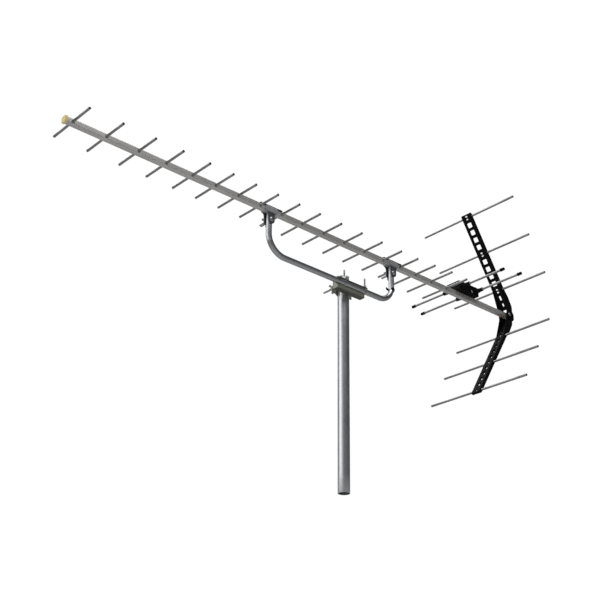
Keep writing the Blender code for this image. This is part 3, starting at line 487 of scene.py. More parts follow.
# ---- fasteners ----
def wing_nut(name, seat, axis, wings_along, bolt_radius=0.003):
    hub, top, bore = 0.0052, 0.0041, bolt_radius + 0.0001
    edge, height = 0.0003, 0.0065
    profile = [(0.0, bore + edge), (0.0, hub - edge), (edge, hub), (0.0018, hub), (height - edge, top)]
    profile += [(height, top - edge), (height, bore + edge), (height - edge, bore), (edge, bore)]
    bm = turned(seat, axis, profile, close=True)
    across = Vector(wings_along).normalized()
    thick = axis.cross(across) * 0.0013
    shape = [(0.004, 0.001), (0.0062, 0.0012), (0.0098, 0.003), (0.0126, 0.0056), (0.0132, 0.0088)]
    shape += [(0.0112, 0.0111), (0.0084, 0.0106), (0.0062, 0.0074), (0.004, 0.0058)]
    for side in (1, -1):
        outline = [across * (side * a) + axis * b for a, b in smooth_path(shape, 4)]
        middle = sum(outline, Vector()) / len(outline)
        rings = []
        for level, scale in ((-1.0, 0.9), (-0.72, 1.0), (0.72, 1.0), (1.0, 0.9)):
            rings.append([seat + middle + (p - middle) * scale + thick * level for p in outline])
        loft(rings, bm=bm)
    piece(f"{name}_cast", bm, "bolt", name, body=f"{name}_body", angle=40)


def hex_nut(name, seat, axis, across_flats, height, bore):
    across, up = cross_axes(axis)
    radius = across_flats / 2 / math.cos(math.pi / 6)
    rings = []
    for t, scale in ((0.0, 0.93), (height * 0.12, 1.0), (height * 0.88, 1.0), (height, 0.93)):
        ring = []
        for i in range(36):
            angle = 2 * math.pi * i / 36
            flat = abs((angle + math.pi / 6) % (math.pi / 3) - math.pi / 6)
            r = min(across_flats / 2 / math.cos(flat), radius * scale)
            ring.append(seat + t * axis + r * (math.cos(angle) * across + math.sin(angle) * up))
        rings.append(ring)
    for t in (height, 0.0):
        rings.append(circle(seat + t * axis, across, up, bore, 36))
    piece(name, loft(rings, close=True), "bolt", angle=30)


def washer(name, seat, axis, outer, inner, thick):
    edge = thick * 0.3
    profile = [(0.0, inner), (0.0, outer - edge), (edge, outer), (thick - edge, outer), (thick, outer - edge)]
    profile += [(thick, inner)]
    piece(name, turned(seat, axis, profile, 40, close=True), "bolt", angle=30)


def dome_profile(radius, height, steps=7):
    points = []
    for k in range(steps + 1):
        angle = math.radians(86 * (1 - k / steps))
        points.append((-height * math.sin(angle), radius * math.cos(angle)))
    return points


def carriage_bolt(name, face, direction, length, plain, body, head_height):
    """A domed bolt: a smooth shank, then a thread to the tip."""
    profile = dome_profile(0.006, head_height) + [(0.0001, 0.0029), (plain, 0.0029)]
    bm = turned(face, direction, profile)
    thread(face + direction * (plain - 0.0002), direction, length - plain, 0.00295, bm=bm)
    piece(f"{name}_screw", bm, "bolt", name, body=body, angle=40)


def screw(name, face, axis, radius, height, looks, *nodes, shank=0.0):
    """A pan-head screw with a cross recess, its head standing along axis from face."""
    profile = [(0.0, radius * 0.94), (height * 0.12, radius), (height * 0.45, radius * 0.97)]
    profile += [(height * 0.75, radius * 0.84), (height * 0.93, radius * 0.62), (height, radius * 0.3)]
    bm = turned(face, axis, profile, 40)
    if shank:
        thread(face + axis * 0.0002, -axis, shank, radius * 0.48, 0.0008, 0.0003, bm=bm)
    head = mesh_from(name, bm, 30)
    across, up = cross_axes(axis)
    base = face + axis * (height * 0.45)
    for first, second in ((up, across), (across, up)):
        outline = []
        for a, b in ((-0.58, -0.09), (0.58, -0.09), (0.58, 0.09), (-0.58, 0.09)):
            outline.append(first * (a * radius) + second * (b * radius))
        rings = [[base + p * 0.45 for p in outline], [base + axis * height + p * 1.3 for p in outline]]
        cut(head, loft(rings))
    place(head, looks, *nodes)


# ---- mast and its bracket ----
CHANNEL_STATIONS = (0.619, 0.719)
CHANNEL_TOP_START = 0.606
CHANNEL_BACK, CHANNEL_LIP, CHANNEL_TOP_EDGE = -0.016, 0.003, 0.0045
CHANNEL_FLOOR, CHANNEL_LIP_TOP, CHANNEL_TOP = -0.1405, -0.128, -0.107
CHANNEL_WALL, CHANNEL_TOP_THICKNESS = 0.002, 0.0016
MAST_BOLT_REACH, MAST_BOLT_RISE = 0.03, -0.1215
JAW_EAR, JAW_END, JAW_THICKNESS, JAW_BEND = -0.0382, 0.0365, 0.0023, 0.003
JAW_RISES = (-0.1345, -0.1155)
JAW_LEAN = math.radians(27)
LOOPS = {"front": 0.6915, "rear": 0.615}
LOOP_THICKNESS, STUD_RADIUS, STUD_TOP = 0.0009, 0.00245, -0.079
LOOP_NUT_TURNS = {"front": math.radians(-41.0), "rear": math.radians(40.0)}


def make_mast():
    profile = tube_profile(MAST_HEIGHT, MAST_RADIUS, MAST_RADIUS - MAST_WALL, 12, 0.0004)
    piece("mast_tube", turned((0, 0, 0), Z, profile, 96, close=True), "mast", "mast_pipe", body="mast")


def mast_bolt_at(side, offset):
    return at(MAST_STATION + side * MAST_BOLT_REACH, offset, MAST_BOLT_RISE)


def channel_section():
    """The C section: lip, floor and back wall of one sheet with the thinner flange folded over the tube."""
    back, lip, wall, bend = CHANNEL_BACK, CHANNEL_LIP, CHANNEL_WALL, 0.0016
    floor, top = CHANNEL_FLOOR, CHANNEL_TOP
    inner_top = top - CHANNEL_TOP_THICKNESS
    outline = [(lip, CHANNEL_LIP_TOP)]
    outline += arc((lip - bend, floor + bend), bend, 0, -90, 5)
    outline += arc((back + bend, floor + bend), bend, -90, -180, 5)
    outline += arc((back + bend, top - bend), bend, 180, 90, 5)
    outline += [(CHANNEL_TOP_EDGE, top), (CHANNEL_TOP_EDGE, inner_top)]
    outline += [(back + wall, inner_top), (back + wall, floor + wall)]
    return outline + [(lip - wall, floor + wall), (lip - wall, CHANNEL_LIP_TOP)]


def corner_trim(station, sign, edge, size):
    """Triangle that takes the corner off a flange that ends at station, its free edge at edge."""
    beyond, above = station + sign * 0.002, edge + 0.002
    return [(beyond, above), (station - sign * size, above), (beyond, edge - size)]


def make_bracket():
    low, high = CHANNEL_STATIONS
    channel = mesh_from("bracket_channel", prism(channel_section(), "X", CHANNEL_TOP_START, high))
    cut(channel, box(at(CHANNEL_TOP_START - 0.01, -0.03, -0.16), at(low, 0.02, -0.1195)))
    trim = bmesh.new()
    for station, sign in ((low, -1), (high, 1)):
        outline = corner_trim(station, sign, CHANNEL_LIP_TOP, 0.005)
        prism(outline, "Y", CHANNEL_LIP - 0.003, CHANNEL_LIP + 0.003, bm=trim)
    for station, sign in ((CHANNEL_TOP_START, -1), (high, 1)):
        outline = corner_trim(station, sign, CHANNEL_TOP_EDGE, 0.004)
        prism(outline, "Z", CHANNEL_TOP - 0.004, CHANNEL_TOP + 0.002, bm=trim)
    cut(channel, trim)
    holes = [(mast_bolt_at(side, CHANNEL_BACK - 0.004), Y, 0.008, BOLT_HOLE_RADIUS) for side in (-1, 1)]
    holes += [(at(station, 0, CHANNEL_TOP - 0.004), Z, 0.008, 0.0029) for station in LOOPS.values()]
    drill(channel, holes)
    place(channel, "bracket", "mast_bracket", body="bracket", bevel=0.0003, limit=60)

    front, back, floor = CHANNEL_LIP - CHANNEL_WALL, CHANNEL_BACK + CHANNEL_WALL, CHANNEL_FLOOR + CHANNEL_WALL
    start = 360 - math.degrees(math.acos(front / SADDLE_RADIUS))
    rib = [(back, -ARM_DROP), (back, floor), (front, floor)]
    rib += arc((0.0, -ARM_DROP), SADDLE_RADIUS, start, 180, 24)
    for number, station in enumerate((low + 0.0005, high - 0.003), start=1):
        piece = mesh_from(f"bracket_rib_{number}", prism(rib, "X", station, station + 0.0025))
        place(piece, "bracket", body="bracket", bevel=0.0003)


def make_jaw():
    slope = math.tan(JAW_LEAN)
    apex = -BOOM_OFFSET - (MAST_RADIUS + 0.0003) / math.cos(JAW_LEAN)
    bend = (JAW_EAR - apex) / slope
    half = [(-JAW_END, JAW_EAR), (-bend, JAW_EAR), (-JAW_BEND, apex + JAW_BEND * slope)]
    path = half + [(-a, b) for a, b in half[::-1]]
    section = [(MAST_STATION + a, b) for a, b in sheet_section(path, -JAW_THICKNESS, JAW_BEND)]
    jaw = mesh_from("mast_jaw_plate", prism(section, "Z", *JAW_RISES))
    drill(jaw, [(mast_bolt_at(side, -0.046), Y, 0.012, BOLT_HOLE_RADIUS) for side in (-1, 1)])
    place(jaw, "bracket", "mast_jaw", body="bracket", bevel=0.0003, limit=60)


def make_mast_bolts():
    head = CHANNEL_BACK + CHANNEL_WALL + 0.0003
    for label, side in (("front", 1), ("rear", -1)):
        face = mast_bolt_at(side, head)
        carriage_bolt(f"mast_bolt_{label}", face, -Y, head + 0.078, 0.02, "bracket", 0.0025)
        wings = (math.sin(0.5), 0, math.cos(0.5) * side)
        wing_nut(f"mast_wing_nut_{label}", mast_bolt_at(side, JAW_EAR - JAW_THICKNESS - 0.0003), -Y, wings)


def make_loops():
    """Strap loops round the arm's tube, each with a threaded stud through the flange and a wing nut."""
    half, edge, foot_height = 0.003, 0.0002, 0.0026
    inner, outer = SADDLE_RADIUS, SADDLE_RADIUS + LOOP_THICKNESS
    profile = [(-half, inner), (-half, outer - edge), (-half + edge, outer), (half - edge, outer)]
    profile += [(half, outer - edge), (half, inner)]
    foot = [(0.0, 0.0036), (0.0006, 0.0036), (0.0016, STUD_RADIUS), (0.0028, STUD_RADIUS)]
    root_rise = -ARM_DROP + inner + LOOP_THICKNESS * 0.5
    for label, station in LOOPS.items():
        bm = turned(at(station, 0, -ARM_DROP), X, profile, 64, close=True)
        root = at(station, 0, root_rise)
        turned(root, Z, foot, bm=bm)
        length = STUD_TOP - root_rise - foot_height
        thread(root + Z * foot_height, Z, length, STUD_RADIUS, 0.0008, 0.0004, bm=bm)
        strap = mesh_from(f"arm_loop_{label}_strap", bm, 40)
        place(strap, "arm", f"arm_loop_{label}", body="bracket", slot="plated")
        turn = LOOP_NUT_TURNS[label]
        wings = (math.cos(turn), math.sin(turn), 0)
        wing_nut(f"arm_wing_nut_{label}", at(station, 0, CHANNEL_TOP + 0.0003), Z, wings, 0.0025)


# ---- support arm and clamps ----
CLAMP_HALF, CLAMP_FLARE, CLAMP_EAR = 0.02, 0.0095, 0.0105
CLAMP_SHOULDER, CLAMP_EAR_RISE = -0.0075, -0.0305
CLAMP_TOP, CLAMP_THICKNESS, CLAMP_BEND = 0.0078, 0.0018, 0.003
CLAMP_OUTER, CLAMP_SHADOW_SHEET_REACH = SADDLE_RADIUS + CLAMP_THICKNESS, 0.037
CLIP_RISE, CLIP_HALF_HEIGHT, CLIP_OUTER = -0.079, 0.0035, 0.0097


def make_support_arm():
    front, rear = LEGS["front"], LEGS["rear"]
    front_bend, rear_bend = BENDS["front"], BENDS["rear"]
    rises = (-0.0085, -0.03, -0.06)
    flat = [(front, rise) for rise in rises]
    flat += arc((front - front_bend, -ARM_DROP + front_bend), front_bend, 0, -90, 26)
    flat += [(station, -ARM_DROP) for station in (0.85, 0.75, 0.65)]
    flat += arc((rear + rear_bend, -ARM_DROP + rear_bend), rear_bend, -90, -180, 26)
    flat += [(rear, rise) for rise in rises[::-1]]
    path = [at(station, 0, rise) for station, rise in flat]
    rings = swept_circle(path, Y, ARM_RADIUS, 40) + swept_circle(path, Y, ARM_BORE_RADIUS, 40)[::-1]
    arm = mesh_from("support_arm_tube", loft(rings, close=True))
    starts = [at(station, -0.02, -CLAMP_BOLT_DROP) for station in LEGS.values()]
    drill(arm, [(start, Y, 0.04, BOLT_HOLE_RADIUS) for start in starts], 24)
    place(arm, "arm", "support_arm")


def clamp_bottom(x):
    """Height of a clamp side's lower edge at a distance along the boom from its middle."""
    x = abs(x)
    if x >= CLAMP_EAR:
        return CLAMP_SHOULDER - CLAMP_FLARE + math.sqrt(max(0.0, CLAMP_FLARE ** 2 - (CLAMP_HALF - x) ** 2))
    return CLAMP_EAR_RISE - math.sqrt(max(0.0, CLAMP_EAR ** 2 - x ** 2))


def clamp_side(half_width, top, bend, bottom):
    """Half of a clamp's section, from the lower edge of a side round the corner to the top."""
    points = [(half_width, bottom + (top - bend - bottom) * k / 6) for k in range(6)]
    return points + arc((half_width - bend, top - bend), bend, 0, 90, 6)


def make_clamp(label, station):
    xs = [-CLAMP_HALF, -CLAMP_HALF + 0.0003]
    xs += [-CLAMP_HALF + CLAMP_FLARE * k / 14 for k in range(1, 15)]
    xs += [-CLAMP_EAR * math.cos(math.radians(90 * k / 14)) for k in range(15)]
    xs = sorted({round(x, 6) for x in xs})
    rings = []
    for x in xs + [-x for x in reversed(xs) if x < 0]:
        bottom = clamp_bottom(x)
        outer = clamp_side(CLAMP_OUTER, CLAMP_TOP + CLAMP_THICKNESS, CLAMP_BEND, bottom)
        inner = clamp_side(SADDLE_RADIUS, CLAMP_TOP, CLAMP_BEND - CLAMP_THICKNESS, bottom)
        ring = outer + [(-y, z) for y, z in outer[::-1]] + [(-y, z) for y, z in inner] + inner[::-1]
        rings.append([at(station + x, y, z) for y, z in ring])
    saddle = mesh_from(f"clamp_{label}_saddle", loft(rings))
    place(saddle, "sheet", f"boom_clamp_{label}", bevel=0.0003, limit=55)
    # A thin near-black sheet over the clamp's top, reaching along the boom past both its ends: it stands in
    # for shadow, painted as a dark sheet.
    low = at(station - CLAMP_SHADOW_SHEET_REACH, -CLAMP_OUTER, CLAMP_TOP + 0.0002)
    high = at(station + CLAMP_SHADOW_SHEET_REACH, CLAMP_OUTER, CLAMP_TOP + CLAMP_THICKNESS - 0.0001)
    piece(f"clamp_{label}_strip", box(low, high), "strip", bevel=0.0005)


def make_clamps():
    wings = (math.cos(0.9), 0, math.sin(0.9))
    for label, station in LEGS.items():
        make_clamp(label, station)
        washer(f"clamp_washer_{label}", at(station, CLAMP_OUTER, -CLAMP_BOLT_DROP), Y, 0.0068, 0.0032, 0.0009)
        face = at(station, CLAMP_OUTER + 0.001, -CLAMP_BOLT_DROP)
        carriage_bolt(f"clamp_bolt_{label}", face, -Y, CLAMP_OUTER + 0.038, 0.018, "antenna", 0.0026)
        seat = at(station, -CLAMP_OUTER - 0.0003, -CLAMP_BOLT_DROP)
        wing_nut(f"clamp_wing_nut_{label}", seat, -Y, wings)
        screw(f"clamp_screw_{label}", at(station, 0, 0.0097), Z, 0.004, 0.0026, "bolt")


def make_cable_clip():
    bend = BENDS["rear"]
    lean = math.asin((bend - ARM_DROP - CLIP_RISE) / bend)
    centre = at(LEGS["rear"] + bend * (1 - math.cos(lean)), 0, CLIP_RISE)
    inner, outer = SADDLE_RADIUS, CLIP_OUTER
    outline = arc((0, 0), outer, 45, 315, 44)
    outline += [(inner + 0.004, -outer * 0.74), (inner + 0.0062, -outer * 0.66), (inner + 0.0074, -0.0052)]
    outline += [(inner + 0.0072, -0.004), (inner + 0.006, -0.004), (inner + 0.0056, -0.005)]
    outline += [(inner + 0.0044, -outer * 0.56)]
    outline += arc((0, 0), inner, 315, 45, 44)
    clip = mesh_from("cable_clip_moulding", prism(outline, "Z", -CLIP_HALF_HEIGHT, CLIP_HALF_HEIGHT, local))
    place(clip, "black", "cable_clip", bevel=0.0003, turn=-lean, origin=centre)


# ---- boom and directors ----
def director_stations():
    """The directors' places, from the front one to the rear one."""
    stations = [REAR_DIRECTOR_STATION]
    for pitch in DIRECTOR_PITCHES:
        stations.append(stations[-1] + pitch)
    return stations[::-1]


def make_boom():
    outer = rounded_box(BOOM_SIDE / 2, BOOM_SIDE / 2, BOOM_CORNER, 6)
    inner = rounded_box(BOOM_SIDE / 2 - BOOM_WALL, BOOM_SIDE / 2 - BOOM_WALL, BOOM_CORNER - BOOM_WALL, 6)
    rear, front = BOOM_ENDS
    edge = 0.0003
    steps = [(rear, 0.98, outer), (rear + edge, 1.0, outer), (front - edge, 1.0, outer), (front, 0.98, outer)]
    steps += [(front, 1.0, inner), (rear, 1.0, inner)]
    rings = [[at(station, a * scale, b * scale) for a, b in outline] for station, scale, outline in steps]
    boom = mesh_from("boom_tube", loft(rings, close=True))
    holes = [(at(station, -0.02), Y, 0.04, ROD_HOLE_RADIUS) for station in director_stations()]
    drill(boom, holes + [(at(PIVOT_STATION, -0.02), Y, 0.04, BOLT_HOLE_RADIUS)])
    place(boom, "boom", "boom")


def make_cap():
    wall, gap, start = 0.0013, 0.0003, BOOM_ENDS[1] - 0.002
    half = BOOM_SIDE / 2 + gap
    steps = [(0.0, 0.985), (0.0003, 1.0), (0.0018, 1.0), (0.0022, 0.985), (0.0042, 0.975)]
    steps += [(0.0052, 0.94), (0.0057, 0.88), (0.0059, 0.8), (0.0059, 0.62), (0.0056, 0.58), (0.0056, 0.2)]
    outline = rounded_box(half + wall, half + wall, BOOM_CORNER + wall, 8)
    rings = [[at(start + t, a * s, b * s) for a, b in outline] for t, s in steps]
    cap = mesh_from("front_cap_moulding", loft(rings))
    inner = rounded_box(half, half, BOOM_CORNER, 6)
    cut(cap, loft([[at(t, a, b) for a, b in inner] for t in (start - 0.005, BOOM_ENDS[1] + gap)]))
    place(cap, "yellow", "boom_front_cap")


def make_directors():
    swell = ROD_RADIUS + 0.0004
    collar = [(0.0, ROD_RADIUS), (0.0004, swell), (0.0009, swell), (0.0013, ROD_RADIUS)]
    for number, station in enumerate(director_stations(), start=1):
        length = REAR_DIRECTOR_LENGTHS.get(number, DIRECTOR_LENGTH)
        bm = turned(at(station, -length / 2), Y, tube_profile(length), close=True)
        for side in (-1, 1):
            turned(at(station, side * 0.0077), side * Y, collar, bm=bm)
        piece(f"director_{number:02d}_rod", bm, "rod", f"director_{number:02d}")


# ---- radiators and feed box ----
BOX_HALF_WIDTH, BOX_CORNER, BOX_WALL = 0.025, 0.0055, 0.0022
BOX_FLOOR, BOX_RIM, COVER_RIM = 0.0078, 0.029, 0.0293
SOCKET_PLACE = (-0.013, 0.019)
BOARD_RISES = (0.0112, 0.0128)
BALUN_CORES = ((0.199, -0.004), (0.224, 0.012))
TERMINAL_OFFSET, TERMINAL_TOP = 0.0155, 0.0236


def radiator_halves():
    """The four half elements: (name, station, length of the whole element, side of the boom)."""
    halves = []
    for where, station in RADIATOR_STATIONS.items():
        for side, sign in (("left", 1), ("right", -1)):
            halves.append((f"{where}_{side}", station, RADIATOR_LENGTHS[where], sign))
    return halves


def make_radiators():
    profile = [(0.0, 0.0036), (0.0, 0.0046), (0.0003, 0.0049), (0.0026, 0.0049), (0.0029, 0.0046)]
    profile += [(0.012, 0.0045), (0.0132, 0.0041), (0.0139, 0.0032), (0.014, 0.0012)]
    for name, station, whole, sign in radiator_halves():
        length = whole / 2 - RADIATOR_ROOT
        root = at(station, sign * RADIATOR_ROOT, RADIATOR_RISE)
        tube = turned(root, sign * Y, tube_profile(length - 0.002), close=True)
        piece(f"radiator_{name}_rod", tube, "rod", f"radiator_{name}")
        tip = root + sign * Y * (length - 0.014)
        piece(f"radiator_{name}_cap", turned(tip, sign * Y, profile), "black")


def stack(outline, levels):
    """A solid round the feed box's middle, from an outline at some heights, each with its scale."""
    middle = sum(BOX_STATIONS) / 2
    return loft([[at(middle + a * s, b * s, z) for a, b in outline] for z, s in levels])


def pocket(half_x, half_y, corner, low, high):
    return stack(rounded_box(half_x, half_y, corner, 6), [(low, 1.0), (high, 1.0)])


def make_feed_box():
    low, high = BOX_STATIONS
    half_x, half_y, floor, rim = (high - low) / 2, BOX_HALF_WIDTH, BOX_FLOOR, BOX_RIM
    levels = [(floor, 0.985), (floor + 0.0006, 1.0), (rim - 0.003, 1.0), (rim - 0.0028, 0.985), (rim, 0.985)]
    tray = mesh_from("feed_box_tray", stack(rounded_box(half_x, half_y, BOX_CORNER, 8), levels))
    profile = [(0.0, 0.008), (0.006, 0.008), (0.0066, 0.0074), (0.012, 0.0072), (0.0124, 0.0066)]
    profile += [(0.018, 0.0064), (0.0184, 0.0059), (0.0296, 0.0057), (0.03, 0.0053)]
    for station in RADIATOR_STATIONS.values():
        for sign in (-1, 1):
            cut(tray, turned(at(station, sign * 0.021, RADIATOR_RISE), sign * Y, profile, 48), "UNION")
    ribs = bmesh.new()
    for k in range(5):
        x = low + 0.014 + k * 0.0155
        for inner, outer in ((half_y - 0.001, half_y + 0.0006), (-half_y - 0.0006, -half_y + 0.001)):
            box(at(x - 0.0006, inner, floor + 0.002), at(x + 0.0006, outer, rim - 0.0045), ribs)
    cut(tray, ribs, "UNION")
    cut(tray, pocket(half_x - BOX_WALL, half_y - BOX_WALL, 0.0035, floor + BOX_WALL, rim + 0.01))
    holes = [(at(station, -0.06, RADIATOR_RISE), Y, 0.12, 0.0038) for station in RADIATOR_STATIONS.values()]
    drill(tray, holes + [(at(low - 0.002, *SOCKET_PLACE), X, 0.008, 0.0051)])
    place(tray, "black", "feed_box_base", bevel=0.0002, limit=60)
    face = at(low + 0.034, half_y + 0.0003, 0.0135)
    screw("box_side_screw", face, Y, 0.0036, 0.0024, "bolt", "feed_box_screw", shank=0.003)


def make_cover():
    middle, rim = sum(BOX_STATIONS) / 2, COVER_RIM
    half_x, half_y = (BOX_STATIONS[1] - BOX_STATIONS[0]) / 2 + 0.001, BOX_HALF_WIDTH + 0.001
    levels = [(rim, 0.0), (rim + 0.0003, -0.0003), (rim + 0.0028, -0.0003), (rim + 0.0036, 0.0006)]
    levels += [(rim + 0.005, 0.0026), (rim + 0.0056, 0.0042)]
    rings = []
    for z, inset in levels:
        outline = rounded_box(half_x - inset, half_y - inset, max(BOX_CORNER - inset * 0.4, 0.002), 8)
        rings.append([at(middle + a, b, z) for a, b in outline])
    cover = mesh_from("feed_cover_moulding", loft(rings))
    cut(cover, pocket(half_x - 0.005, half_y - 0.005, 0.003, rim - 0.01, rim + 0.0039))
    cut(cover, pocket(half_x - 0.011, half_y - 0.0105, 0.003, rim + 0.0051, rim + 0.01))
    place(cover, "black", "feed_box_cover", body="feed_cover", bevel=0.0002, limit=60)
    bm = bmesh.new()
    for a in (middle - 0.028, middle + 0.028):
        low, high = rim - 0.006, rim + 0.003
        corners = [(a - 0.005, low), (a + 0.005, low), (a + 0.005, high), (a - 0.005, high)]
        prism(rounded_polygon(corners, 0.001), "Y", half_y - 0.0004, half_y + 0.0008, bm=bm)
    piece("feed_cover_latches", bm, "black", body="feed_cover", bevel=0.0002)
    profile = [(0.0, 0.0012), (0.0002, 0.0014), (0.0118, 0.0014), (0.012, 0.0012)]
    for number, a in enumerate((-0.03, 0.03), start=1):
        knuckle = turned(at(middle + a - 0.006, -half_y, rim + 0.0002), X, profile, 24)
        piece(f"feed_cover_knuckle_{number}", knuckle, "black", body="feed_cover")


def make_board():
    low, high = BOX_STATIONS
    bottom, top = BOARD_RISES
    laminate = box(at(low + 0.006, -0.019, bottom), at(high - 0.006, 0.019, top))
    piece("board_laminate", laminate, "board", "balun_board", bevel=0.0002)
    bm = bmesh.new()
    tracks = [(0.166, -0.013, 0.19, -0.01), (0.187, -0.013, 0.19, 0.008), (0.187, 0.005, 0.216, 0.008)]
    tracks += [(0.213, -0.009, 0.216, 0.008), (0.213, -0.012, 0.232, -0.009), (0.17, 0.012, 0.205, 0.0135)]
    for a, b, c, d in tracks:
        box(at(a, b, top + 0.00002), at(c, d, top + 0.00008), bm)
    piece("board_tracks", bm, "copper")


def make_balun():
    """Two ring cores on the board, each with nine turns of wire."""
    top = BOARD_RISES[1]
    cores, wire = bmesh.new(), bmesh.new()
    ring = [(0.0, 0.002), (0.0, 0.0048), (0.0006, 0.0052), (0.0036, 0.0052), (0.0042, 0.0048)]
    ring += [(0.0042, 0.002)]
    for spot in BALUN_CORES:
        turned(at(*spot, top + 0.0003), Z, ring, 36, close=True, bm=cores)
        centre = at(*spot, top + 0.0024)
        for k in range(9):
            angle = math.radians(-100 + 25 * k)
            out = Vector((math.cos(angle), math.sin(angle), 0))
            loop = [centre + out * (0.0034 + a) + Z * b for a, b in rounded_box(0.0021, 0.0025, 0.0009, 4)]
            normal = Vector((-out.y, out.x, 0))
            loft(swept_circle(loop, normal, 0.00028, 8, closed=True), close=True, bm=wire)
    piece("balun_cores", cores, "ferrite")
    piece("balun_windings", wire, "copper")


def make_board_parts():
    """The board's capacitors and its solder joints."""
    top = BOARD_RISES[1]
    bm = bmesh.new()
    profile = [(0.0, 0.0012), (0.0003, 0.0024), (0.0011, 0.0027), (0.0019, 0.0024), (0.0022, 0.0012)]
    for station, offset, turn in ((0.177, -0.003, 0.2), (0.183, 0.01, -0.4), (0.212, -0.014, 0.1)):
        facing = Vector((math.cos(turn), math.sin(turn), 0))
        turned(at(station, offset, top + 0.0038) - facing * 0.0011, facing, profile, 28, bm=bm)
    piece("board_capacitors", bm, "ceramic")
    bm = bmesh.new()
    joints = [(0.177, -0.0045), (0.177, -0.0015), (0.183, 0.0085), (0.183, 0.0115), (0.212, -0.0155)]
    joints += [(0.212, -0.0125), (0.168, -0.0115), (0.231, -0.0105), (0.203, 0.0128), (0.215, 0.0066)]
    profile = [(0.0, 0.0011), (0.0002, 0.001), (0.0005, 0.0007), (0.0009, 0.0003), (0.0022, 0.00025)]
    for station, offset in joints:
        turned(at(station, offset, top), Z, profile, 20, bm=bm)
    piece("board_solder", bm, "solder")


def make_terminals():
    for name, station, _, sign in radiator_halves():
        bm = bmesh.new()
        offset = sign * TERMINAL_OFFSET
        for a, b, low in ((-0.004, 0.004, 0.0229), (-0.004, -0.0033, 0.0145)):
            box(at(station + a, offset - 0.0025, low), at(station + b, offset + 0.0025, TERMINAL_TOP), bm)
        piece(f"terminal_{name}", bm, "solder", bevel=0.0002)
        screw(f"terminal_screw_{name}", at(station, offset, TERMINAL_TOP), Z, 0.0026, 0.0016, "brass")


def make_socket():
    face = at(BOX_STATIONS[0] + 0.0037, *SOCKET_PLACE)
    profile = [(0.0, 0.0036), (0.0, 0.0048), (0.0066, 0.0048), (0.0067, 0.0042), (0.0148, 0.0042)]
    profile += [(0.015, 0.004), (0.015, 0.0035), (0.006, 0.0034)]
    bm = turned(face, -X, profile, 48, close=True)
    thread(face - X * 0.0067, -X, 0.0078, 0.0047, 0.0008, 0.0005, 32, bm=bm)
    shell = mesh_from("coax_socket_shell", bm, 40)
    drill(shell, [(face - X * 0.0085, -X, 0.01, 0.0034)], 40)
    place(shell, "bolt", "coax_socket")
    hex_nut("coax_socket_nut", face - X * 0.0041, -X, 0.011, 0.0024, 0.0047)
    profile = [(0.0, 0.0033), (0.0036, 0.0033), (0.004, 0.0029), (0.004, 0.0011), (0.0034, 0.0007)]
    profile += [(0.002, 0.0007)]
    insulator = turned(face - X * 0.0086, -X, profile, 36)
    piece("coax_socket_insulator", insulator, "ceramic", slot="yellow_plastic")


# ---- corner reflector ----
WEB = (0.0129, 0.0146)
HALVES = {"upper": 0.0172, "lower": 0.0147}
ARM_WALL, ARM_END = 0.002, 0.3375
ROD_PITCH = (ROD_REACHES[1] - ROD_REACHES[0]) / 5


def arm_side_outline():
    round_end = arc((0, 0), 0.0135, 250, 120, 28)
    bends = [(0.018, 0.027), (0.05, 0.029), (0.076, ROD_SETBACK + 0.0075)]
    bends += [(0.3335, ROD_SETBACK + 0.0048), (ARM_END, ROD_SETBACK + 0.0008), (ARM_END, 0.0143)]
    bends += [(0.3355, 0.0123), (0.084, 0.0123), (0.023, -0.002)]
    bends = rounded_polygon([round_end[-1]] + bends + [round_end[0]], 0.0035, 4)
    return round_end[1:-1] + bends[3:-3]


def windows_of(half):
    """The web's openings: (reach, length, width). Those behind the rods are smaller."""
    windows = [(0.0333, 0.009, 0.0056), (0.056, 0.014, 0.007)]
    for number in range(11):
        reach = ROD_REACHES[0] + number * ROD_PITCH
        windows.append((reach, 0.013, 0.008) if number % 5 == 0 else (reach, 0.015, 2 * (half - 0.0094)))
    return windows


def across_web(side, reaches, half, depths, bm=None):
    """A box over a reach and a width of the arm, between two depths on its side."""
    low, high = sorted(side * depth for depth in depths)
    return box((reaches[0], -half, low), (reaches[1], half, high), bm)


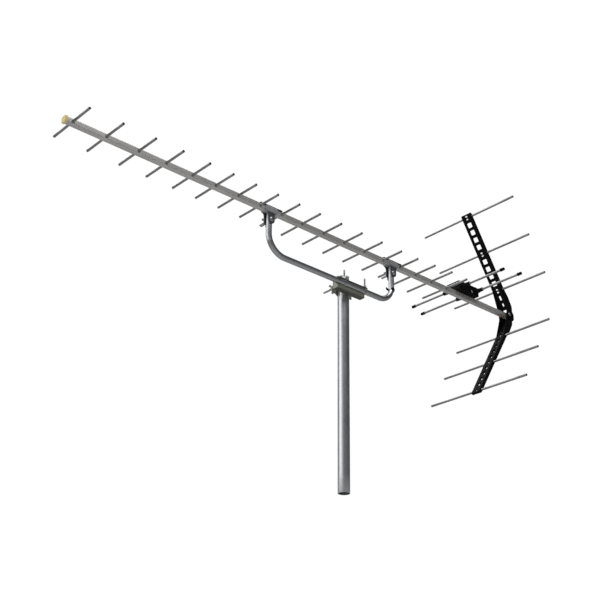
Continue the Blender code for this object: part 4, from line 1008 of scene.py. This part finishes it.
def make_reflector_arm(where, side):
    half = HALVES[where]
    inner = half - ARM_WALL
    how = {"body": f"{where}_reflector", "turn": -side * OPENING, "origin": PIVOT}
    outline = [(a, side * b) for a, b in arm_side_outline()]
    arm = mesh_from(f"{where}_arm_moulding", prism(outline, "Y", -half, half, local))
    end = ARM_END - 0.0022
    inside = [(-0.05, -0.05), (0.016, -0.05), (0.016, WEB[1]), (end, WEB[1]), (end, 0.06), (-0.05, 0.06)]
    cut(arm, prism([(a, side * b) for a, b in inside], "Y", -inner, inner, local))
    cut(arm, across_web(side, (0.011, end), inner, (-0.05, WEB[0])))
    openings = bmesh.new()
    depths = sorted((side * 0.011, side * 0.016))
    for reach, length, width in windows_of(half):
        window = rounded_box(length / 2, width / 2, min(0.0022, width * 0.3), 5)
        prism([(reach + a, b) for a, b in window], "Z", *depths, local, openings)
    cut(arm, openings)
    bosses = bmesh.new()
    profile = [(0.0, 0.0056), (0.0006, 0.0056), (0.001, 0.005)]
    for reach in ROD_REACHES:
        for sign in (-1, 1):
            start = (reach, sign * (half - 0.0002), side * (ROD_SETBACK - 0.0006))
            turned(start, sign * Y, profile, 36, bm=bosses)
    cut(arm, bosses, "UNION")
    holes = [((reach, -0.03, side * ROD_SETBACK), Y, 0.06, ROD_HOLE_RADIUS) for reach in ROD_REACHES]
    drill(arm, holes + [((0, -0.03, 0), Y, 0.06, BOLT_HOLE_RADIUS)])
    place(arm, "black", f"reflector_arm_{where}", bevel=0.00035, limit=48, **how)
    ribs = bmesh.new()
    for number in range(10):
        reach = ROD_REACHES[0] + (number + 0.5) * ROD_PITCH
        span = (reach - 0.0008, reach + 0.0008)
        across_web(side, span, inner + 0.0004, (WEB[1] - 0.0004, ROD_SETBACK + 0.004), ribs)
    piece(f"{where}_arm_ribs", ribs, "black", bevel=0.0002, **how)


def make_reflector(where, side):
    make_reflector_arm(where, side)
    along = Vector((math.cos(OPENING), 0, side * math.sin(OPENING)))
    rear = Vector((-math.sin(OPENING), 0, side * math.cos(OPENING)))
    collar = [(0.0, 0.003), (0.0004, 0.0035), (0.001, 0.0035), (0.0014, 0.003)]
    for number, reach in enumerate(ROD_REACHES, start=1):
        middle = PIVOT + reach * along + ROD_SETBACK * rear
        start = middle - Y * REFLECTOR_ROD_LENGTH / 2
        bm = turned(start, Y, tube_profile(REFLECTOR_ROD_LENGTH), close=True)
        for sign in (-1, 1):
            turned(middle + Y * sign * (HALVES[where] + 0.0012), sign * Y, collar, bm=bm)
        rod = mesh_from(f"{where}_reflector_rod_{number}", bm)
        place(rod, "rod", f"reflector_rod_{where}_{number}", body=f"{where}_reflector")


def make_hub():
    outline = [(-0.021, -0.009), (-0.0145, -0.016), (-0.0043, -0.016), (-0.0043, 0.016)]
    outline += [(-0.0145, 0.016), (-0.021, 0.009)]
    hub = mesh_from("hub_moulding", prism(rounded_polygon(outline, 0.0022), "Y", -0.0121, 0.0121))
    pockets = bmesh.new()
    for rise in (-0.0095, -0.0032, 0.0032, 0.0095):
        box(at(-0.023, -0.009, rise - 0.0023), at(-0.0125, 0.009, rise + 0.0023), pockets)
    cut(hub, pockets)
    plug = 0.006
    cut(hub, box(at(-0.012, -plug, -plug), at(0.036, plug, plug)), "UNION")
    drill(hub, [(at(PIVOT_STATION, -0.02), Y, 0.04, BOLT_HOLE_RADIUS)])
    place(hub, "black", "reflector_hub", bevel=0.0004, limit=50)

    reach = HALVES["upper"] + 0.0003
    tip = 2 * reach
    profile = dome_profile(0.005, 0.0024, 8) + [(0.0001, 0.003), (tip - 0.0006, 0.003), (tip, 0.003)]
    profile += [(tip + 0.0001, 0.004), (tip + 0.0012, 0.0042), (tip + 0.0018, 0.0036)]
    profile += [(tip + 0.0018, 0.0018), (tip + 0.0012, 0.0012)]
    piece("hub_pin", turned(PIVOT + Y * reach, -Y, profile, 48), "bolt", "reflector_pivot_pin")
    washer("hub_pin_washer", PIVOT + Y * (HALVES["upper"] - 0.0001), Y, 0.0048, 0.0031, 0.0003)
    face = at(0.026, 0, -0.0078)
    screw("hub_underside_screw", face, -Z, 0.0044, 0.003, "brass", "hub_screw", shank=0.007)


# ---- surroundings ----
KEY_AXIS = Vector((0.863, -0.264, 0.43)).normalized()
WORLD_BY_HEIGHT = [(0.0, 0.3), (0.14, 0.24), (0.3, 0.065), (0.55, 0.07), (0.85, 0.2)]
LIGHTS_CENTRE = Vector((0.12, 0.03, 0.62))
FLOOR_HEIGHT = -1.55
CAMERA_PLACE = Vector((1.88805, 1.9831, -0.765))
CAMERA_YAW, CAMERA_PITCH, CAMERA_ROLL = (math.radians(v) for v in (-131.14, 25.39, 0.9))
CAMERA_LENS = 67.26
VIEW_AXIS = Vector((
    math.cos(CAMERA_PITCH) * math.cos(CAMERA_YAW),
    math.cos(CAMERA_PITCH) * math.sin(CAMERA_YAW),
    math.sin(CAMERA_PITCH),
))


def make_world():
    """Surroundings that are lighter low down and high up, with two soft round patches of light."""
    world = bpy.data.worlds.new("studio")
    bpy.context.scene.world = world
    world.use_nodes = True
    tree = world.node_tree
    background = tree.nodes["Background"]
    direction = node(tree, "ShaderNodeTexCoord", "Generated", {})

    def patch(axis, cosine_edge, cosine_core, strength):
        aim = node(tree, "ShaderNodeVectorMath", "Value", {0: direction, 1: axis}, operation="DOT_PRODUCT")
        inputs = {"Value": aim, "From Min": cosine_edge, "From Max": cosine_core, "To Max": strength}
        return node(tree, "ShaderNodeMapRange", "Result", inputs, interpolation_type="SMOOTHSTEP")

    total = ramp(tree, node(tree, "ShaderNodeSeparateXYZ", "Z", {0: direction}), WORLD_BY_HEIGHT)
    for lamp in (patch(VIEW_AXIS, 0.86, 0.92, 0.95), patch(KEY_AXIS, 0.42, 0.98, 0.5)):
        total = mix(tree, 1.0, total, lamp, "ADD")
    tree.links.new(total, background.inputs["Color"])
    background.inputs["Strength"].default_value = 1.0
    bpy.context.scene.view_settings.view_transform = "Standard"


def area_light(name, towards, distance, size, power):
    """A softbox that faces the middle of the antenna from a direction."""
    data = bpy.data.lights.new(name, "AREA")
    data.shape = "RECTANGLE"
    data.size, data.size_y = size
    data.energy = power
    light = bpy.data.objects.new(name, data)
    bpy.context.scene.collection.objects.link(light)
    direction = Vector(towards).normalized()
    light.location = LIGHTS_CENTRE + direction * distance
    light.rotation_mode = "QUATERNION"
    light.rotation_quaternion = direction.to_track_quat("Z", "Y")


def make_floor():
    bm = bmesh.new()
    bmesh.ops.create_grid(bm, x_segments=2, y_segments=2, size=14)
    mesh = bpy.data.meshes.new("floor")
    bm.to_mesh(mesh)
    bm.free()
    made, tree, shader = tree_of("floor_paint")
    tone = ramp(tree, noise_of(tree, coordinates(tree), 3.0, 5.0), [(0.3, 0.76), (0.7, 0.8)])
    tree.links.new(tone, shader.inputs["Base Color"])
    shader.inputs["Roughness"].default_value = 0.8
    mesh.materials.append(made)
    floor = bpy.data.objects.new("floor", mesh)
    bpy.context.scene.collection.objects.link(floor)
    floor.location = (0, 0, FLOOR_HEIGHT)


def make_camera():
    level = Vector((math.sin(CAMERA_YAW), -math.cos(CAMERA_YAW), 0))
    upright = level.cross(VIEW_AXIS)
    right = math.cos(CAMERA_ROLL) * level + math.sin(CAMERA_ROLL) * upright
    up = math.cos(CAMERA_ROLL) * upright - math.sin(CAMERA_ROLL) * level
    data = bpy.data.cameras.new("camera")
    data.sensor_width, data.lens = 36.0, CAMERA_LENS
    data.clip_start, data.clip_end = 0.05, 60
    camera = bpy.data.objects.new("camera", data)
    bpy.context.scene.collection.objects.link(camera)
    turn = Matrix((right, up, -VIEW_AXIS)).transposed()
    camera.matrix_world = Matrix.Translation(CAMERA_PLACE) @ turn.to_4x4()
    bpy.context.scene.camera = camera


# ---- assembly ----
make_mast()
make_bracket()
make_jaw()
make_mast_bolts()
make_loops()
make_support_arm()
make_clamps()
make_cable_clip()
make_boom()
make_cap()
make_directors()
make_radiators()
make_feed_box()
make_cover()
make_board()
make_balun()
make_board_parts()
make_terminals()
make_socket()
make_hub()
make_reflector("upper", 1)
make_reflector("lower", -1)
make_world()
make_floor()
area_light("key", KEY_AXIS, 3.2, (2.8, 2.4), 22)
area_light("rim", (0.0, -0.6, 0.8), 3.2, (1.6, 1.6), 24)
area_light("top", (0.1, 0.45, 0.88), 3.6, (2.6, 2.6), 70)
make_camera()
